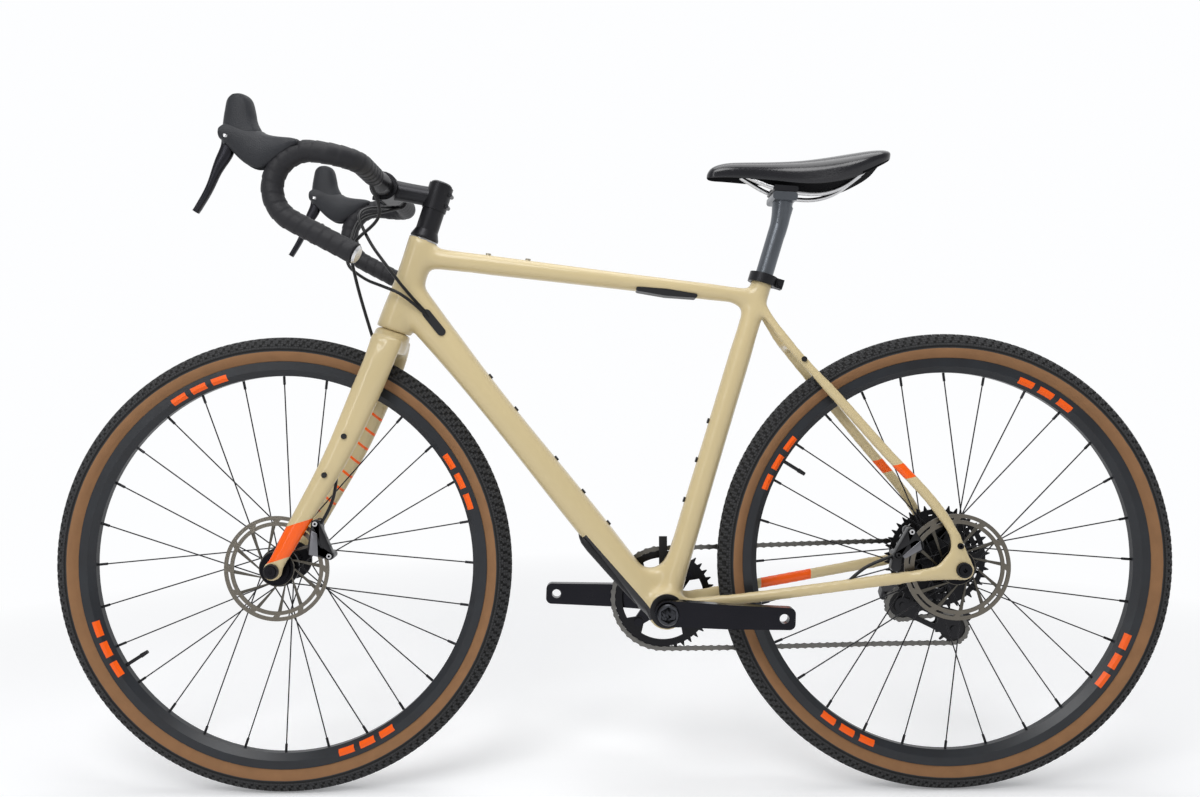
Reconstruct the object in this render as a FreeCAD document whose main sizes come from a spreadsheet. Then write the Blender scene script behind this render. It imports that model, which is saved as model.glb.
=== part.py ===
import FreeCAD, Part
import math
import os
import re

import Sketcher
from FreeCAD import Placement, Rotation, Vector

# Driving dimensions of a gravel bike, in millimetres and degrees.
# X runs forward, Y to the rider's left, Z up; the ground is at Z 0 below mid wheelbase.
SIZES = {
    # Layout of the bike
    "wheelbase": 1028,
    "tyre_radius": 354,
    "chainstay_length": 440.6,
    "bottom_bracket_drop": 67,
    "head_angle": 71.5,
    "seat_angle": 73,
    "fork_rake": 47,
    "fork_length": 398,
    "head_tube_length": 150,
    "headset_gap": 1,
    "seat_tube_length": 538,
    "fit_gap": 0.05,
    "seat_gap": 0.02,
    "cut_overrun": 2,
    # Frame tubes
    "head_tube_lower_radius": 27.5,
    "head_tube_waist_radius": 24,
    "head_tube_upper_radius": 23,
    "top_tube_head_drop": 28,
    "top_tube_seat_drop": 37,
    "top_tube_head_depth": 36,
    "top_tube_depth": 27,
    "top_tube_seat_depth": 25,
    "top_tube_width": 36,
    "top_tube_seat_width": 30,
    "down_tube_head_rise": 60,
    "down_tube_shell_offset": 16,
    "down_tube_depth": 46,
    "down_tube_head_depth": 60,
    "down_tube_shell_depth": 44,
    "down_tube_width": 50,
    "down_tube_shell_width": 72,
    "seat_tube_top_radius": 17,
    "seat_tube_mid_depth": 35,
    "seat_tube_mid_width": 36,
    "seat_tube_shell_depth": 42,
    "seat_tube_shell_width": 62,
    "shell_radius": 30.5,
    "shell_width": 84,
    "chain_stay_depth": 17,
    "chain_stay_width": 13,
    "chain_stay_shell_depth": 30,
    "chain_stay_spread": 75.5,
    "seat_stay_depth": 16,
    "seat_stay_width": 12.5,
    "seat_stay_bow": 29,
    "seat_stay_spread": 75.5,
    "stay_bridge_radius": 7,
    "rear_hub_width": 142,
    "dropout_thickness": 9,
    "dropout_radius": 17,
    "dropout_stay_radius": 8,
    "dropout_chain_reach": 62,
    "dropout_seat_rise": 50,
    "dropout_seat_lead": 11,
    "shell_web_radius": 26,
    "shell_web_width": 30,
    "head_web_radius": 20,
    "head_web_width": 22,
    "seat_web_radius": 14,
    "seat_web_width": 18,
    # Seat clamp and seatpost
    "seatpost_radius": 13.6,
    "seatpost_length": 300,
    "seatpost_exposed": 112,
    "seatpost_bore_depth": 300,
    "seatpost_slit_width": 2.5,
    "seatpost_slit_depth": 24,
    "clamp_height": 15,
    "clamp_thickness": 5,
    "clamp_ear_width": 16,
    "clamp_ear_length": 10,
    "clamp_bolt_radius": 2.5,
    "clamp_head_radius": 4.5,
    # Headset
    "steerer_radius": 14.3,
    "lower_bearing_radius": 23.5,
    "upper_bearing_radius": 20.5,
    "bearing_height": 7,
    "steerer_bore_radius": 18,
    "cover_height": 14,
    "cover_lower_radius": 22,
    "spacer_radius": 17.5,
    "spacer_height": 11,
    "spacer_count": 3,
    # Fork
    "crown_radius": 27,
    "crown_height": 33,
    "crown_half_width": 44,
    "crown_depth": 54,
    "blade_top_depth": 50,
    "blade_top_width": 28,
    "blade_tip_depth": 25,
    "blade_tip_width": 13,
    "blade_bow": 13,
    "blade_start": 386,
    "blade_spread": 57,
    "front_hub_width": 100,
    "fork_tip_radius": 14.5,
    "fork_tip_thickness": 13,
    # Axles
    "thru_axle_radius": 6,
    "axle_head_radius": 11.5,
    "axle_head_length": 4,
    # Wheels
    "tyre_neck_radius": 317,
    "tyre_neck_half": 13,
    "tyre_bead_radius": 310.3,
    "tyre_bead_half": 11,
    "tyre_bead_inner_half": 8,
    "tyre_neck_inner_half": 9.5,
    "tyre_casing": 3,
    "rim_radius": 316,
    "rim_half_width": 13.5,
    "rim_flange": 2.2,
    "rim_bed_radius": 310,
    "rim_well_radius": 305.5,
    "rim_well_half": 4,
    "rim_wall_radius": 303,
    "rim_nose_radius": 293.5,
    "rim_nose_half": 5,
    "spoke_radius": 1,
    "nipple_radius": 2,
    "nipple_length": 13,
    "spoke_count": 28,
    "spoke_cross_steps": 4,
    "hub_flange_thickness": 3,
    "front_left_flange": 26,
    "front_right_flange": 36,
    "rear_left_flange": 36,
    "rear_right_flange": 19,
    "flange_hole_radius": 26,
    "flange_radius": 30,
    "hub_shell_radius": 14,
    "hub_end_radius": 9.5,
    "hub_end_gap": 0.3,
    "hub_neck_radius": 17,
    "rotor_seat_length": 8,
    "rotor_radius": 80,
    "rotor_thickness": 1.8,
    "rotor_track_width": 15,
    "rotor_carrier_radius": 27,
    "rotor_front_offset": 39.8,
    "rotor_rear_offset": 55.8,
    "rotor_window_count": 12,
    "rotor_slot_width": 3.2,
    "rotor_lockring_radius": 21,
    "rotor_lockring_height": 4,
    "valve_radius": 2.8,
    "valve_length": 38,
    "valve_cap_radius": 3.6,
    "valve_cap_length": 12,
    # Crankset and bottom bracket
    "bracket_cup_radius": 22,
    "bracket_cup_lip_radius": 26,
    "bracket_cup_lip": 4,
    "bracket_cup_depth": 20,
    "spindle_radius": 12,
    "crank_length": 172.5,
    "crank_rest_tilt": 2,
    "crank_boss_radius": 19.5,
    "crank_corner_radius": 9,
    "crank_end_margin": 16.7,
    "crank_end_height": 33,
    "crank_boss_inner": 47,
    "crank_boss_outer": 63,
    "crank_tip_inner": 57,
    "crank_tip_outer": 71,
    "pedal_hole_radius": 7.14,
    "spindle_cap_radius": 11,
    "spindle_cap_height": 3,
    "chainring_teeth": 40,
    "chainring_offset": 47,
    "chainring_thickness": 2,
    "chainring_rim": 15,
    "chainring_bolt_circle_radius": 55,
    "chainring_tab_radius": 9,
    "chainring_bolt_radius": 4,
    "chainring_bolt_head_radius": 6.5,
    "chainring_bolt_head_height": 2.5,
    "spider_thickness": 5,
    "spider_arm_width": 15,
    # Cassette and freehub
    "smallest_cog_offset": 64.5,
    "cog_pitch": 3.74,
    "cog_thickness": 1.6,
    "cog_spacer_radius": 17.2,
    "freehub_radius": 16.5,
    "lockring_radius": 15,
    "lockring_height": 2,
    # Chain and teeth
    "chain_pitch": 12.7,
    "roller_radius": 3.8,
    "roller_half_width": 1.15,
    "inner_plate_thickness": 0.75,
    "outer_plate_thickness": 0.75,
    "chain_plate_radius": 4.2,
    "tooth_height": 2.9,
    "tooth_root_depth": 4.05,
    "tooth_root_half_gap": 2.9,
    "tooth_tip_half_gap": 5.9,
    "chain_settle_length": 42,
    # Rear derailleur
    "pulley_teeth": 12,
    "pulley_thickness": 2,
    "pulley_bore_radius": 3,
    "guide_lead": 45,
    "guide_drop": 83,
    "cage_length": 91,
    "cage_angle": 211,
    "cage_plate_thickness": 1.8,
    "cage_plate_gap": 5.4,
    "cage_guide_radius": 13,
    "cage_tension_radius": 15,
    "cage_tail_radius": 6,
    "cage_tail_length": 33,
    "cage_bolt_head_radius": 5,
    "cage_bolt_head_height": 2,
    "hanger_drop": 29,
    "hanger_lead": 9,
    "hanger_radius": 9,
    "hanger_thickness": 8,
    "link_length": 54,
    "link_slant": 38,
    "link_rest_angle": 26,
    "link_bar_radius": 5,
    "link_spacing": 12,
    "link_thickness": 13,
    "link_outboard": 38,
    "knuckle_radius": 15,
    "knuckle_gap": 0.4,
    "link_pin_radius": 2.4,
    # Brakes
    "caliper_width": 26,
    "caliper_slot": 3.4,
    "caliper_rounding": 11,
    "caliper_outer": 15,
    "pad_thickness": 0.6,
    "brake_pad_radius": 7,
    # Stem and bar
    "stem_length": 81,
    "stem_rise_angle": 10.5,
    "stem_clamp_height": 40,
    "stem_clamp_radius": 19,
    "stem_body_radius": 15,
    "stem_bar_radius": 21.5,
    "stem_bar_width": 44,
    "faceplate_gap": 1.6,
    "top_cap_radius": 16.5,
    "top_cap_height": 5,
    "stem_bolt_radius": 3.4,
    "stem_bolt_length": 9,
    "bar_clamp_radius": 15.9,
    "bar_radius": 11.9,
    "bar_bulge_half": 48,
    "bar_taper": 22,
    "bar_half_width": 191,
    "bar_corner_radius": 46,
    "bar_ramp": 8,
    "bar_tilt": 8,
    "bar_hook_radius": 50,
    "bar_hook_angle": 160,
    "bar_drop_length": 98,
    "tape_radius": 15.3,
    "tape_start": 82,
    "plug_radius": 13.5,
    "plug_length": 3,
    # Levers
    "lever_pivot_reach": 172,
    "lever_pivot_rise": 32,
    "hood_width": 34,
    "hood_knob_width": 31,
    "lever_width": 13,
    "lever_root_depth": 17,
    "lever_tip_depth": 8,
    "lever_pin_radius": 3,
    "lever_slot_gap": 0.8,
    "paddle_width": 4,
    "paddle_end_depth": 20,
    # Saddle
    "saddle_nose": -147,
    "saddle_height": 977,
    "saddle_length": 276,
    "saddle_width": 143,
    "saddle_depth": 38,
    "saddle_tail_rise": 17,
    "saddle_padding": 14,
    "saddle_shell_thickness": 4,
    "rail_radius": 3.5,
    "rail_spacing": 44,
    "cradle_length": 38,
    "cradle_width": 56,
    "cradle_height": 13,
    "cradle_cap_height": 9,
    "cradle_parting": 0.8,
    "cradle_setback": 118,
    "cradle_bolt_radius": 2.5,
    # Small fittings
    "boss_bolt_radius": 4.2,
    "boss_bolt_height": 2.6,
    "guard_thickness": 2.5,
    "guard_width": 40,
    "port_radius": 6.5,
    "port_height": 2,
    "port_rise": 8.6,
    "pad_height": 1.2,
    "pad_drop": 10.5,
    "pad_radius": 5.5,
    "guide_plate_height": 50,
    "guide_plate_width": 13,
    "guide_plate_thickness": 3,
    "guide_plate_offset": 42.5,
    "guide_plate_rise": 51,
    "guide_boss_radius": 5,
    "hose_radius": 2.5,
}

document = FreeCAD.newDocument("gravel_bike")
sheet = document.addObject("Spreadsheet::Sheet", "Sizes")
for row, (alias, size) in enumerate(SIZES.items(), 1):
    sheet.set("A%d" % row, alias)
    sheet.set("B%d" % row, str(size))
    sheet.setAlias("B%d" % row, alias)
document.recompute()


class Named:
    """Reads a driving dimension from the sheet by its alias."""

    def __getattr__(self, alias):
        return float(sheet.get(alias))


S = Named()
sub_parts = []
ORIGIN = Vector(0, 0, 0)
X = Vector(1, 0, 0)
Y = Vector(0, 1, 0)
Z = Vector(0, 0, 1)
# Turns an outline drawn in X and Z so that it stands in the side plane and pads towards the right.
SIDE = Rotation(X, 90)
# Turns a revolved piece so that its axis points to the left.
LEFTWARD = Rotation(X, -90)


def value(text):
    return float(sheet.evalExpression(text))


def bind(text):
    return re.sub(r"[a-z]\w*", lambda match: "Sizes." + match.group(0), text)


def keep(item, label):
    """Marks a document object as a finished sub-part."""
    item.Label = label
    sub_parts.append(item)
    return item


def feature(label, shape):
    item = document.addObject("Part::Feature", label + "_form")
    item.Shape = shape
    return item


def cluster(label, items):
    """Several separate solids in one sub-part."""
    item = document.addObject("Part::Compound", label + "_group")
    item.Links = items
    return item


def new_sketch(body, role):
    sketch = body.newObject("Sketcher::SketchObject", body.Name + "_outline")
    plane = [item for item in body.Origin.OriginFeatures if item.Role == role][0]
    sketch.AttachmentSupport = (plane, [""])
    sketch.MapMode = "FlatFace"
    return sketch


def draw_profile(sketch, corners):
    """Closed profile of straight edges whose corners are held at sizes from the sheet."""
    places = [Vector(value(across), value(up), 0) for across, up in corners]
    count = len(corners)
    for index, here in enumerate(places):
        sketch.addGeometry(Part.LineSegment(here, places[(index + 1) % count]), False)
    for index in range(count):
        sketch.addConstraint(Sketcher.Constraint("Coincident", index, 2, (index + 1) % count, 1))
    for index, corner in enumerate(corners):
        for kind, text, size in zip(("DistanceX", "DistanceY"), corner, places[index]):
            number = sketch.addConstraint(Sketcher.Constraint(kind, -1, 1, index, 1, size))
            sketch.setExpression("Constraints[%d]" % number, bind(text))


def turn_sketch(body, sketch, placement):
    turn = body.newObject("PartDesign::Revolution", body.Name + "_turn")
    turn.Profile = sketch
    turn.ReferenceAxis = (sketch, ["V_Axis"])
    turn.Angle = 360
    body.Placement = placement
    return body


def traced_turn(label, edges, placement):
    """Solid of revolution about the body's own Z axis, from traced lines and arcs."""
    body = document.addObject("PartDesign::Body", label + "_body")
    sketch = new_sketch(body, "XZ_Plane")
    sketch.addGeometry(edges, False)
    return turn_sketch(body, sketch, placement)


def turned_body(label, corners, placement):
    """Solid of revolution about the body's own Z axis, from (radius, height) corners."""
    body = document.addObject("PartDesign::Body", label + "_body")
    sketch = new_sketch(body, "XZ_Plane")
    draw_profile(sketch, corners)
    return turn_sketch(body, sketch, placement)


def padded_body(label, edges, length, placement, centred=False):
    """Plate padded from a traced outline drawn in the body's own XY plane."""
    body = document.addObject("PartDesign::Body", label + "_body")
    sketch = new_sketch(body, "XY_Plane")
    sketch.addGeometry(edges, False)
    pad = body.newObject("PartDesign::Pad", body.Name + "_pad")
    pad.Profile = sketch
    pad.setExpression("Length", bind(length))
    pad.SideType = "Symmetric" if centred else "One side"
    body.Placement = placement
    return body


def side_place(point):
    return Placement(point, SIDE)


def direction(degrees):
    return Vector(math.cos(math.radians(degrees)), math.sin(math.radians(degrees)), 0)


def polar(centre, radius, degrees):
    return centre + direction(degrees) * radius


def heading(vector):
    return math.degrees(math.atan2(vector.y, vector.x))


def tangent(first, second):
    """Ends of the belt run from one (centre, radius, sense) wheel to the next; sense 1 turns left."""
    run = second[0] - first[0]
    reach = second[2] * second[1] - first[2] * first[1]
    course = heading(run) - math.degrees(math.asin(reach / run.Length))
    normal = direction(course + 90)
    return first[0] - normal * (first[2] * first[1]), second[0] - normal * (second[2] * second[1])


def arc_between(centre, radius, start, end, sense):
    """Arc on a wheel from one point to another, with the wheel's sense of turning."""
    opening = heading(start - centre)
    sweep = (heading(end - centre) - opening) * sense % 360
    return Part.Arc(start, polar(centre, radius, opening + sense * sweep / 2), end), sweep


def belt(circles):
    """Outline stretched around circles that are listed anticlockwise as (x, y, radius)."""
    wheels = [(Vector(x, y, 0), radius, 1) for x, y, radius in circles]
    runs = [tangent(wheel, wheels[(index + 1) % len(wheels)]) for index, wheel in enumerate(wheels)]
    edges = []
    for index, wheel in enumerate(wheels):
        arrival = runs[index - 1][1]
        edges.append(arc_between(wheel[0], wheel[1], arrival, runs[index][0], 1)[0])
        edges.append(Part.LineSegment(*runs[index]))
    return edges


def ring_edge(x, y, radius):
    return Part.Circle(Vector(x, y, 0), Z, radius)


def oval(centre, along, width, depth, power=2.0):
    """Closed section across a tube: width to the side, depth in the side plane."""
    axis = Vector(along).normalize()
    across = (Y - axis * axis.dot(Y)).normalize()
    upward = axis.cross(across)
    points = []
    for step in range(12):
        angle = math.tau * step / 12
        share_across = math.copysign(abs(math.cos(angle)) ** (2 / power), math.cos(angle))
        share_up = math.copysign(abs(math.sin(angle)) ** (2 / power), math.sin(angle))
        points.append(centre + across * (share_across * width / 2) + upward * (share_up * depth / 2))
    curve = Part.BSplineCurve()
    curve.interpolate(Points=points, PeriodicFlag=True, Parameters=list(range(len(points) + 1)))
    return Part.Wire(curve.toShape())


def lofted_tube(stations, power=2.0):
    """Tube lofted through (point, width, depth) stations."""
    sections = []
    last = len(stations) - 1
    for index, (point, width, depth) in enumerate(stations):
        along = stations[min(index + 1, last)][0] - stations[max(index - 1, 0)][0]
        sections.append(oval(point, along, width, depth, power))
    return Part.makeLoft(sections, True)


def blend(first, second, share):
    return first + (second - first) * share


def mirrored(shape):
    return shape.mirror(ORIGIN, Y)


def rounded_route(points):
    """Wire along straight runs, with each corner rounded by a tangent arc as large as its runs allow."""
    edges = []
    radii = []
    here = points[0]
    for before, corner, after in zip(points, points[1:], points[2:]):
        back = (before - corner).normalize()
        ahead = (after - corner).normalize()
        half_turn = (math.pi - back.getAngle(ahead)) / 2
        trim = 0.45 * min((before - corner).Length, (after - corner).Length)
        radius = trim / math.tan(half_turn)
        centre = corner + (back + ahead).normalize() * (radius / math.cos(half_turn))
        start = corner + back * trim
        end = corner + ahead * trim
        middle = centre + (corner - centre).normalize() * radius
        edges += [Part.LineSegment(here, start), Part.Arc(start, middle, end)]
        radii.append(radius)
        here = end
    edges.append(Part.LineSegment(here, points[-1]))
    return Part.Wire([edge.toShape() for edge in edges]), radii


def swept(path, radius):
    """Round rod along a wire of straight runs and tangent arcs."""
    pieces = []
    for edge in path.Edges:
        start = edge.valueAt(edge.FirstParameter)
        along = edge.tangentAt(edge.FirstParameter)
        ring = Part.Face(Part.Wire(Part.Circle(start, along, radius).toShape()))
        if edge.Curve.TypeId == "Part::GeomLine":
            pieces.append(ring.extrude(along * edge.Length))
        else:
            centre = edge.Curve.Center
            axis = (start - centre).cross(along)
            pieces.append(ring.revolve(centre, axis, math.degrees(edge.Length / edge.Curve.Radius)))
    return pieces[0].fuse(pieces[1:]) if len(pieces) > 1 else pieces[0]


def hose(label, points, radius):
    """Hose along its route; its volume is compared with section times length."""
    path, radii = rounded_route(points)
    shape = swept(path, radius)
    expected = math.pi * radius ** 2 * path.Length
    bends = [round(bend, 1) for bend in radii]
    print("%s bend radii %s volume ratio %.4f" % (label, bends, shape.Volume / expected))
    return shape


def slanted(degrees):
    """Unit vectors along and across a tube that leans back from the ground by an angle."""
    angle = math.radians(degrees)
    return Vector(-math.cos(angle), 0, math.sin(angle)), Vector(math.sin(angle), 0, math.cos(angle))


rear_axle = Vector(-S.wheelbase / 2, 0, S.tyre_radius)
front_axle = Vector(S.wheelbase / 2, 0, S.tyre_radius)
shell_run = math.sqrt(S.chainstay_length ** 2 - S.bottom_bracket_drop ** 2)
shell = rear_axle + Vector(shell_run, 0, -S.bottom_bracket_drop)
steer_up, steer_fore = slanted(S.head_angle)
steer_foot = front_axle - steer_fore * S.fork_rake
seat_up, seat_fore = slanted(S.seat_angle)
head_low = S.fork_length + S.headset_gap
head_top = head_low + S.head_tube_length
stem_low = head_top + S.headset_gap + S.cover_height + S.spacer_height * S.spacer_count
stem_top = stem_low + S.stem_clamp_height


def steer(height):
    """Point on the steering axis."""
    return steer_foot + steer_up * height


def seat(height):
    """Point on the seat tube axis."""
    return shell + seat_up * height


# Frame

def main_tubes():
    head_shares = ((0, 1, 0), (0.14, 0.85, 0), (0.5, 0, 0), (0.9, 0, 0.9), (1, 0, 1))
    head_tube = []
    for share, low, high in head_shares:
        radius = S.head_tube_waist_radius
        radius += low * (S.head_tube_lower_radius - S.head_tube_waist_radius)
        radius += high * (S.head_tube_upper_radius - S.head_tube_waist_radius)
        head_tube.append((steer(blend(head_low, head_top, share)), 2 * radius, 2 * radius))
    top_start = steer(head_top - S.top_tube_head_drop)
    top_end = seat(S.seat_tube_length - S.top_tube_seat_drop)
    top_tube = []
    top_shares = ((0, 1, 0), (0.1, 0.6, 0), (0.25, 0.3, 0), (0.5, 0, 0), (0.8, 0, 0.8), (1, 0, 1))
    for share, flare, aft in top_shares:
        depth = S.top_tube_depth + flare * (S.top_tube_head_depth - S.top_tube_depth)
        depth += aft * (S.top_tube_seat_depth - S.top_tube_depth)
        width = blend(S.top_tube_width, S.top_tube_seat_width, aft)
        top_tube.append((blend(top_start, top_end, share), width, depth))
    down_start = steer(head_low + S.down_tube_head_rise)
    down_end = shell + X * S.down_tube_shell_offset
    down_tube = []
    down_shares = ((0, 1, 0), (0.12, 0.5, 0), (0.26, 0, 0), (0.6, 0, 0), (0.86, 0, 0.4), (1, 0, 1))
    for share, flare, low in down_shares:
        depth = S.down_tube_depth + flare * (S.down_tube_head_depth - S.down_tube_depth)
        depth += low * (S.down_tube_shell_depth - S.down_tube_depth)
        width = blend(S.down_tube_width, S.down_tube_shell_width, low)
        down_tube.append((blend(down_start, down_end, share), width, depth))
    seat_tube = []
    top = 2 * S.seat_tube_top_radius
    for share, low, high in ((0, 1, 0), (0.14, 0.5, 0), (0.4, 0, 0), (0.75, 0, 0.8), (0.88, 0, 1), (1, 0, 1)):
        depth = S.seat_tube_mid_depth + low * (S.seat_tube_shell_depth - S.seat_tube_mid_depth)
        width = S.seat_tube_mid_width + low * (S.seat_tube_shell_width - S.seat_tube_mid_width)
        point = seat(S.seat_tube_length * share)
        seat_tube.append((point, blend(width, top, high), blend(depth, top, high)))
    return [
        lofted_tube(head_tube), lofted_tube(top_tube, 2.3), lofted_tube(down_tube, 2.6),
        lofted_tube(seat_tube),
    ]


def chain_stay():
    stations = []
    stay_shares = (
        (0.06, 0.36, 1), (0.19, 0.44, 0.35), (0.293, 0.55, 0.05), (0.46, 0.67, 0), (0.63, 0.78, 0),
        (0.8, 0.88, 0.15), (0.93, 0.975, 0.4),
    )
    for share, spread_share, flare in stay_shares:
        point = blend(shell, rear_axle, share) + Y * (S.chain_stay_spread * spread_share)
        depth = blend(S.chain_stay_depth, S.chain_stay_shell_depth, flare)
        stations.append((point, S.chain_stay_width, depth))
    return lofted_tube(stations, 2.3)


seat_stay_shares = (
    (0, 0, 0.12), (0.16, -0.26, 0.29), (0.386, 0.19, 0.5), (0.607, 0.67, 0.66), (0.714, 0.96, 0.78),
    (0.82, 1, 0.9), (0.93, 0.6, 0.99),
)


def seat_stay_points():
    start = seat(S.seat_tube_length - S.top_tube_seat_drop)
    points = []
    for share, bow_share, spread_share in seat_stay_shares:
        point = blend(start, rear_axle, share) - X * (S.seat_stay_bow * bow_share)
        points.append(point + Y * (S.seat_stay_spread * spread_share))
    return points


def dropout(inner):
    """Rear dropout plate; its outer side faces away from the wheel."""
    along = (shell - rear_axle).normalize()
    chain_end = along * S.dropout_chain_reach
    eye = (0, 0, S.dropout_radius)
    chain_lobe = (chain_end.x, chain_end.z, S.dropout_stay_radius)
    seat_lobe = (S.dropout_seat_lead, S.dropout_seat_rise, S.dropout_stay_radius)
    near_chain = (chain_end.x * 0.6, chain_end.z * 0.6, S.dropout_stay_radius)
    near_seat = (S.dropout_seat_lead * 0.6, S.dropout_seat_rise * 0.6, S.dropout_stay_radius)
    lobes = []
    for circles in ([eye, chain_lobe], [eye, seat_lobe], [eye, near_chain, near_seat]):
        face = Part.Face(Part.Wire([edge.toShape() for edge in belt(circles)]))
        lobes.append(face.extrude(Z * S.dropout_thickness))
    plate = lobes[0].fuse(lobes[1:]).removeSplitter()
    plate.Placement = side_place(rear_axle + Y * (inner + S.dropout_thickness))
    return plate


def corner_web(first, second, depths, radius, width):
    """Web that rounds the inside corner between two tubes given as (point, direction)."""
    flat = [Vector(line[0].x, line[0].z, 0) for line in (first, second)]
    ways = [Vector(line[1].x, line[1].z, 0).normalize() for line in (first, second)]
    turn = ways[0].x * ways[1].y - ways[0].y * ways[1].x
    offset = flat[1] - flat[0]
    meeting = flat[0] + ways[0] * ((offset.x * ways[1].y - offset.y * ways[1].x) / turn)
    middle = (ways[0] + ways[1]).normalize()
    half_angle = ways[0].getAngle(ways[1]) / 2
    half_depth = (depths[0] + depths[1]) / 4
    centre = meeting + middle * ((half_depth + radius) / math.sin(half_angle))
    run = (half_depth + radius) / math.tan(half_angle)
    corners = [flat[0], meeting + ways[0] * run, centre, meeting + ways[1] * run]
    if not flat[1].isEqual(flat[0], S.fit_gap):
        corners.append(flat[1])
    corners.append(flat[0])
    block = Part.Face(Part.makePolygon(corners)).extrude(Z * width)
    hollow = Part.makeCylinder(radius, width + 2 * S.cut_overrun, centre - Z * S.cut_overrun, Z)
    web = block.cut(hollow)
    web.Placement = side_place(Y * (width / 2))
    return max(web.Solids, key=lambda solid: solid.Volume)


def corner_webs():
    """Webs above the shell, behind the head tube and under the seat cluster."""
    down_start = steer(head_low + S.down_tube_head_rise)
    down_end = shell + X * S.down_tube_shell_offset
    top_start = steer(head_top - S.top_tube_head_drop)
    top_end = seat(S.seat_tube_length - S.top_tube_seat_drop)
    return [
        corner_web((shell, seat_up), (down_end, down_start - down_end),
                   (S.seat_tube_mid_depth, S.down_tube_depth), S.shell_web_radius, S.shell_web_width),
        corner_web((top_start, top_end - top_start), (down_start, down_end - down_start),
                   (S.top_tube_depth, S.down_tube_depth), S.head_web_radius, S.head_web_width),
        corner_web((top_end, top_start - top_end), (top_end, seat_up * -1),
                   (S.top_tube_seat_depth, S.seat_tube_mid_depth), S.seat_web_radius, S.seat_web_width),
    ]


def frame_shape():
    stations = [(point, S.seat_stay_width, S.seat_stay_depth) for point in seat_stay_points()]
    left_stay = lofted_tube(stations)
    left_chain_stay = chain_stay()
    bridge = blend(stations[1][0], stations[2][0], 0.1)
    bridge_half = Y * bridge.y
    solids = main_tubes()
    solids.append(Part.makeCylinder(S.shell_radius, S.shell_width, shell - Y * (S.shell_width / 2), Y))
    solids.append(Part.makeCylinder(S.stay_bridge_radius, 2 * bridge.y, bridge - bridge_half * 2, Y))
    left_plate = dropout(S.rear_hub_width / 2)
    solids += [left_stay, mirrored(left_stay), left_chain_stay, mirrored(left_chain_stay)]
    solids += [left_plate, mirrored(left_plate)] + corner_webs()
    body = solids[0].fuse(solids[1:])
    over = S.cut_overrun
    bores = [
        Part.makeCylinder(
            S.steerer_bore_radius, S.head_tube_length + 2 * over, steer(head_low - over), steer_up),
        Part.makeCylinder(
            S.lower_bearing_radius + S.seat_gap, S.bearing_height + over, steer(head_low - over), steer_up),
        Part.makeCylinder(
            S.upper_bearing_radius + S.seat_gap, S.bearing_height + over,
            steer(head_top - S.bearing_height), steer_up),
        Part.makeCylinder(
            S.seatpost_radius + S.fit_gap, S.seatpost_bore_depth + over,
            seat(S.seat_tube_length - S.seatpost_bore_depth), seat_up),
        Part.makeCylinder(
            S.bracket_cup_radius + S.seat_gap, S.shell_width + 2 * over,
            shell - Y * (S.shell_width / 2 + over), Y),
        Part.makeCylinder(
            S.thru_axle_radius + S.seat_gap, S.rear_hub_width + 4 * S.dropout_thickness,
            rear_axle - Y * (S.rear_hub_width / 2 + 2 * S.dropout_thickness), Y),
    ]
    slit = Part.makeBox(
        2 * S.seat_tube_top_radius, S.seatpost_slit_width, S.seatpost_slit_depth + over,
        Vector(-2 * S.seat_tube_top_radius, -S.seatpost_slit_width / 2, -S.seatpost_slit_depth))
    slit.Placement = Placement(seat(S.seat_tube_length), Rotation(Y, S.seat_angle - 90))
    return body.cut(bores + [slit])


frame_solid = frame_shape()
keep(feature("frame", frame_solid), "frame")


# Headset, seat clamp and bottom bracket

def ring_solid(outer, inner, height, start, axis):
    tube = Part.makeCylinder(outer, height, start, axis)
    over = S.cut_overrun
    return tube.cut(Part.makeCylinder(inner, height + 2 * over, start - axis * over, axis))


def tube_ring(label, outer, inner, height, start, axis):
    corners = [
        (inner, "0"), (outer, "0"), (outer, height), (inner, height),
    ]
    return turned_body(label, corners, Placement(start, Rotation(Z, axis)))


bearings = [
    tube_ring("lower_bearing", "lower_bearing_radius", "steerer_radius + fit_gap", "bearing_height",
              steer(head_low), steer_up),
    tube_ring("upper_bearing", "upper_bearing_radius", "steerer_radius + fit_gap", "bearing_height",
              steer(head_top - S.bearing_height), steer_up),
]
keep(cluster("headset_bearings", bearings), "headset_bearings")

cover = turned_body(
    "headset_cover",
    [
        ("steerer_radius + seat_gap", "0"), ("cover_lower_radius", "0"),
        ("cover_lower_radius", "cover_height / 5"), ("spacer_radius", "cover_height"),
        ("steerer_radius + seat_gap", "cover_height"),
    ],
    Placement(steer(head_top + S.headset_gap), Rotation(Z, steer_up)))

spacers = [cover]
for number in range(int(S.spacer_count)):
    base = head_top + S.headset_gap + S.cover_height + S.spacer_height * number
    spacers.append(tube_ring(
        "spacer_%d" % number, "spacer_radius", "steerer_radius + seat_gap", "spacer_height",
        steer(base), steer_up))
keep(cluster("headset_spacers", spacers), "headset_spacers")


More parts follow.
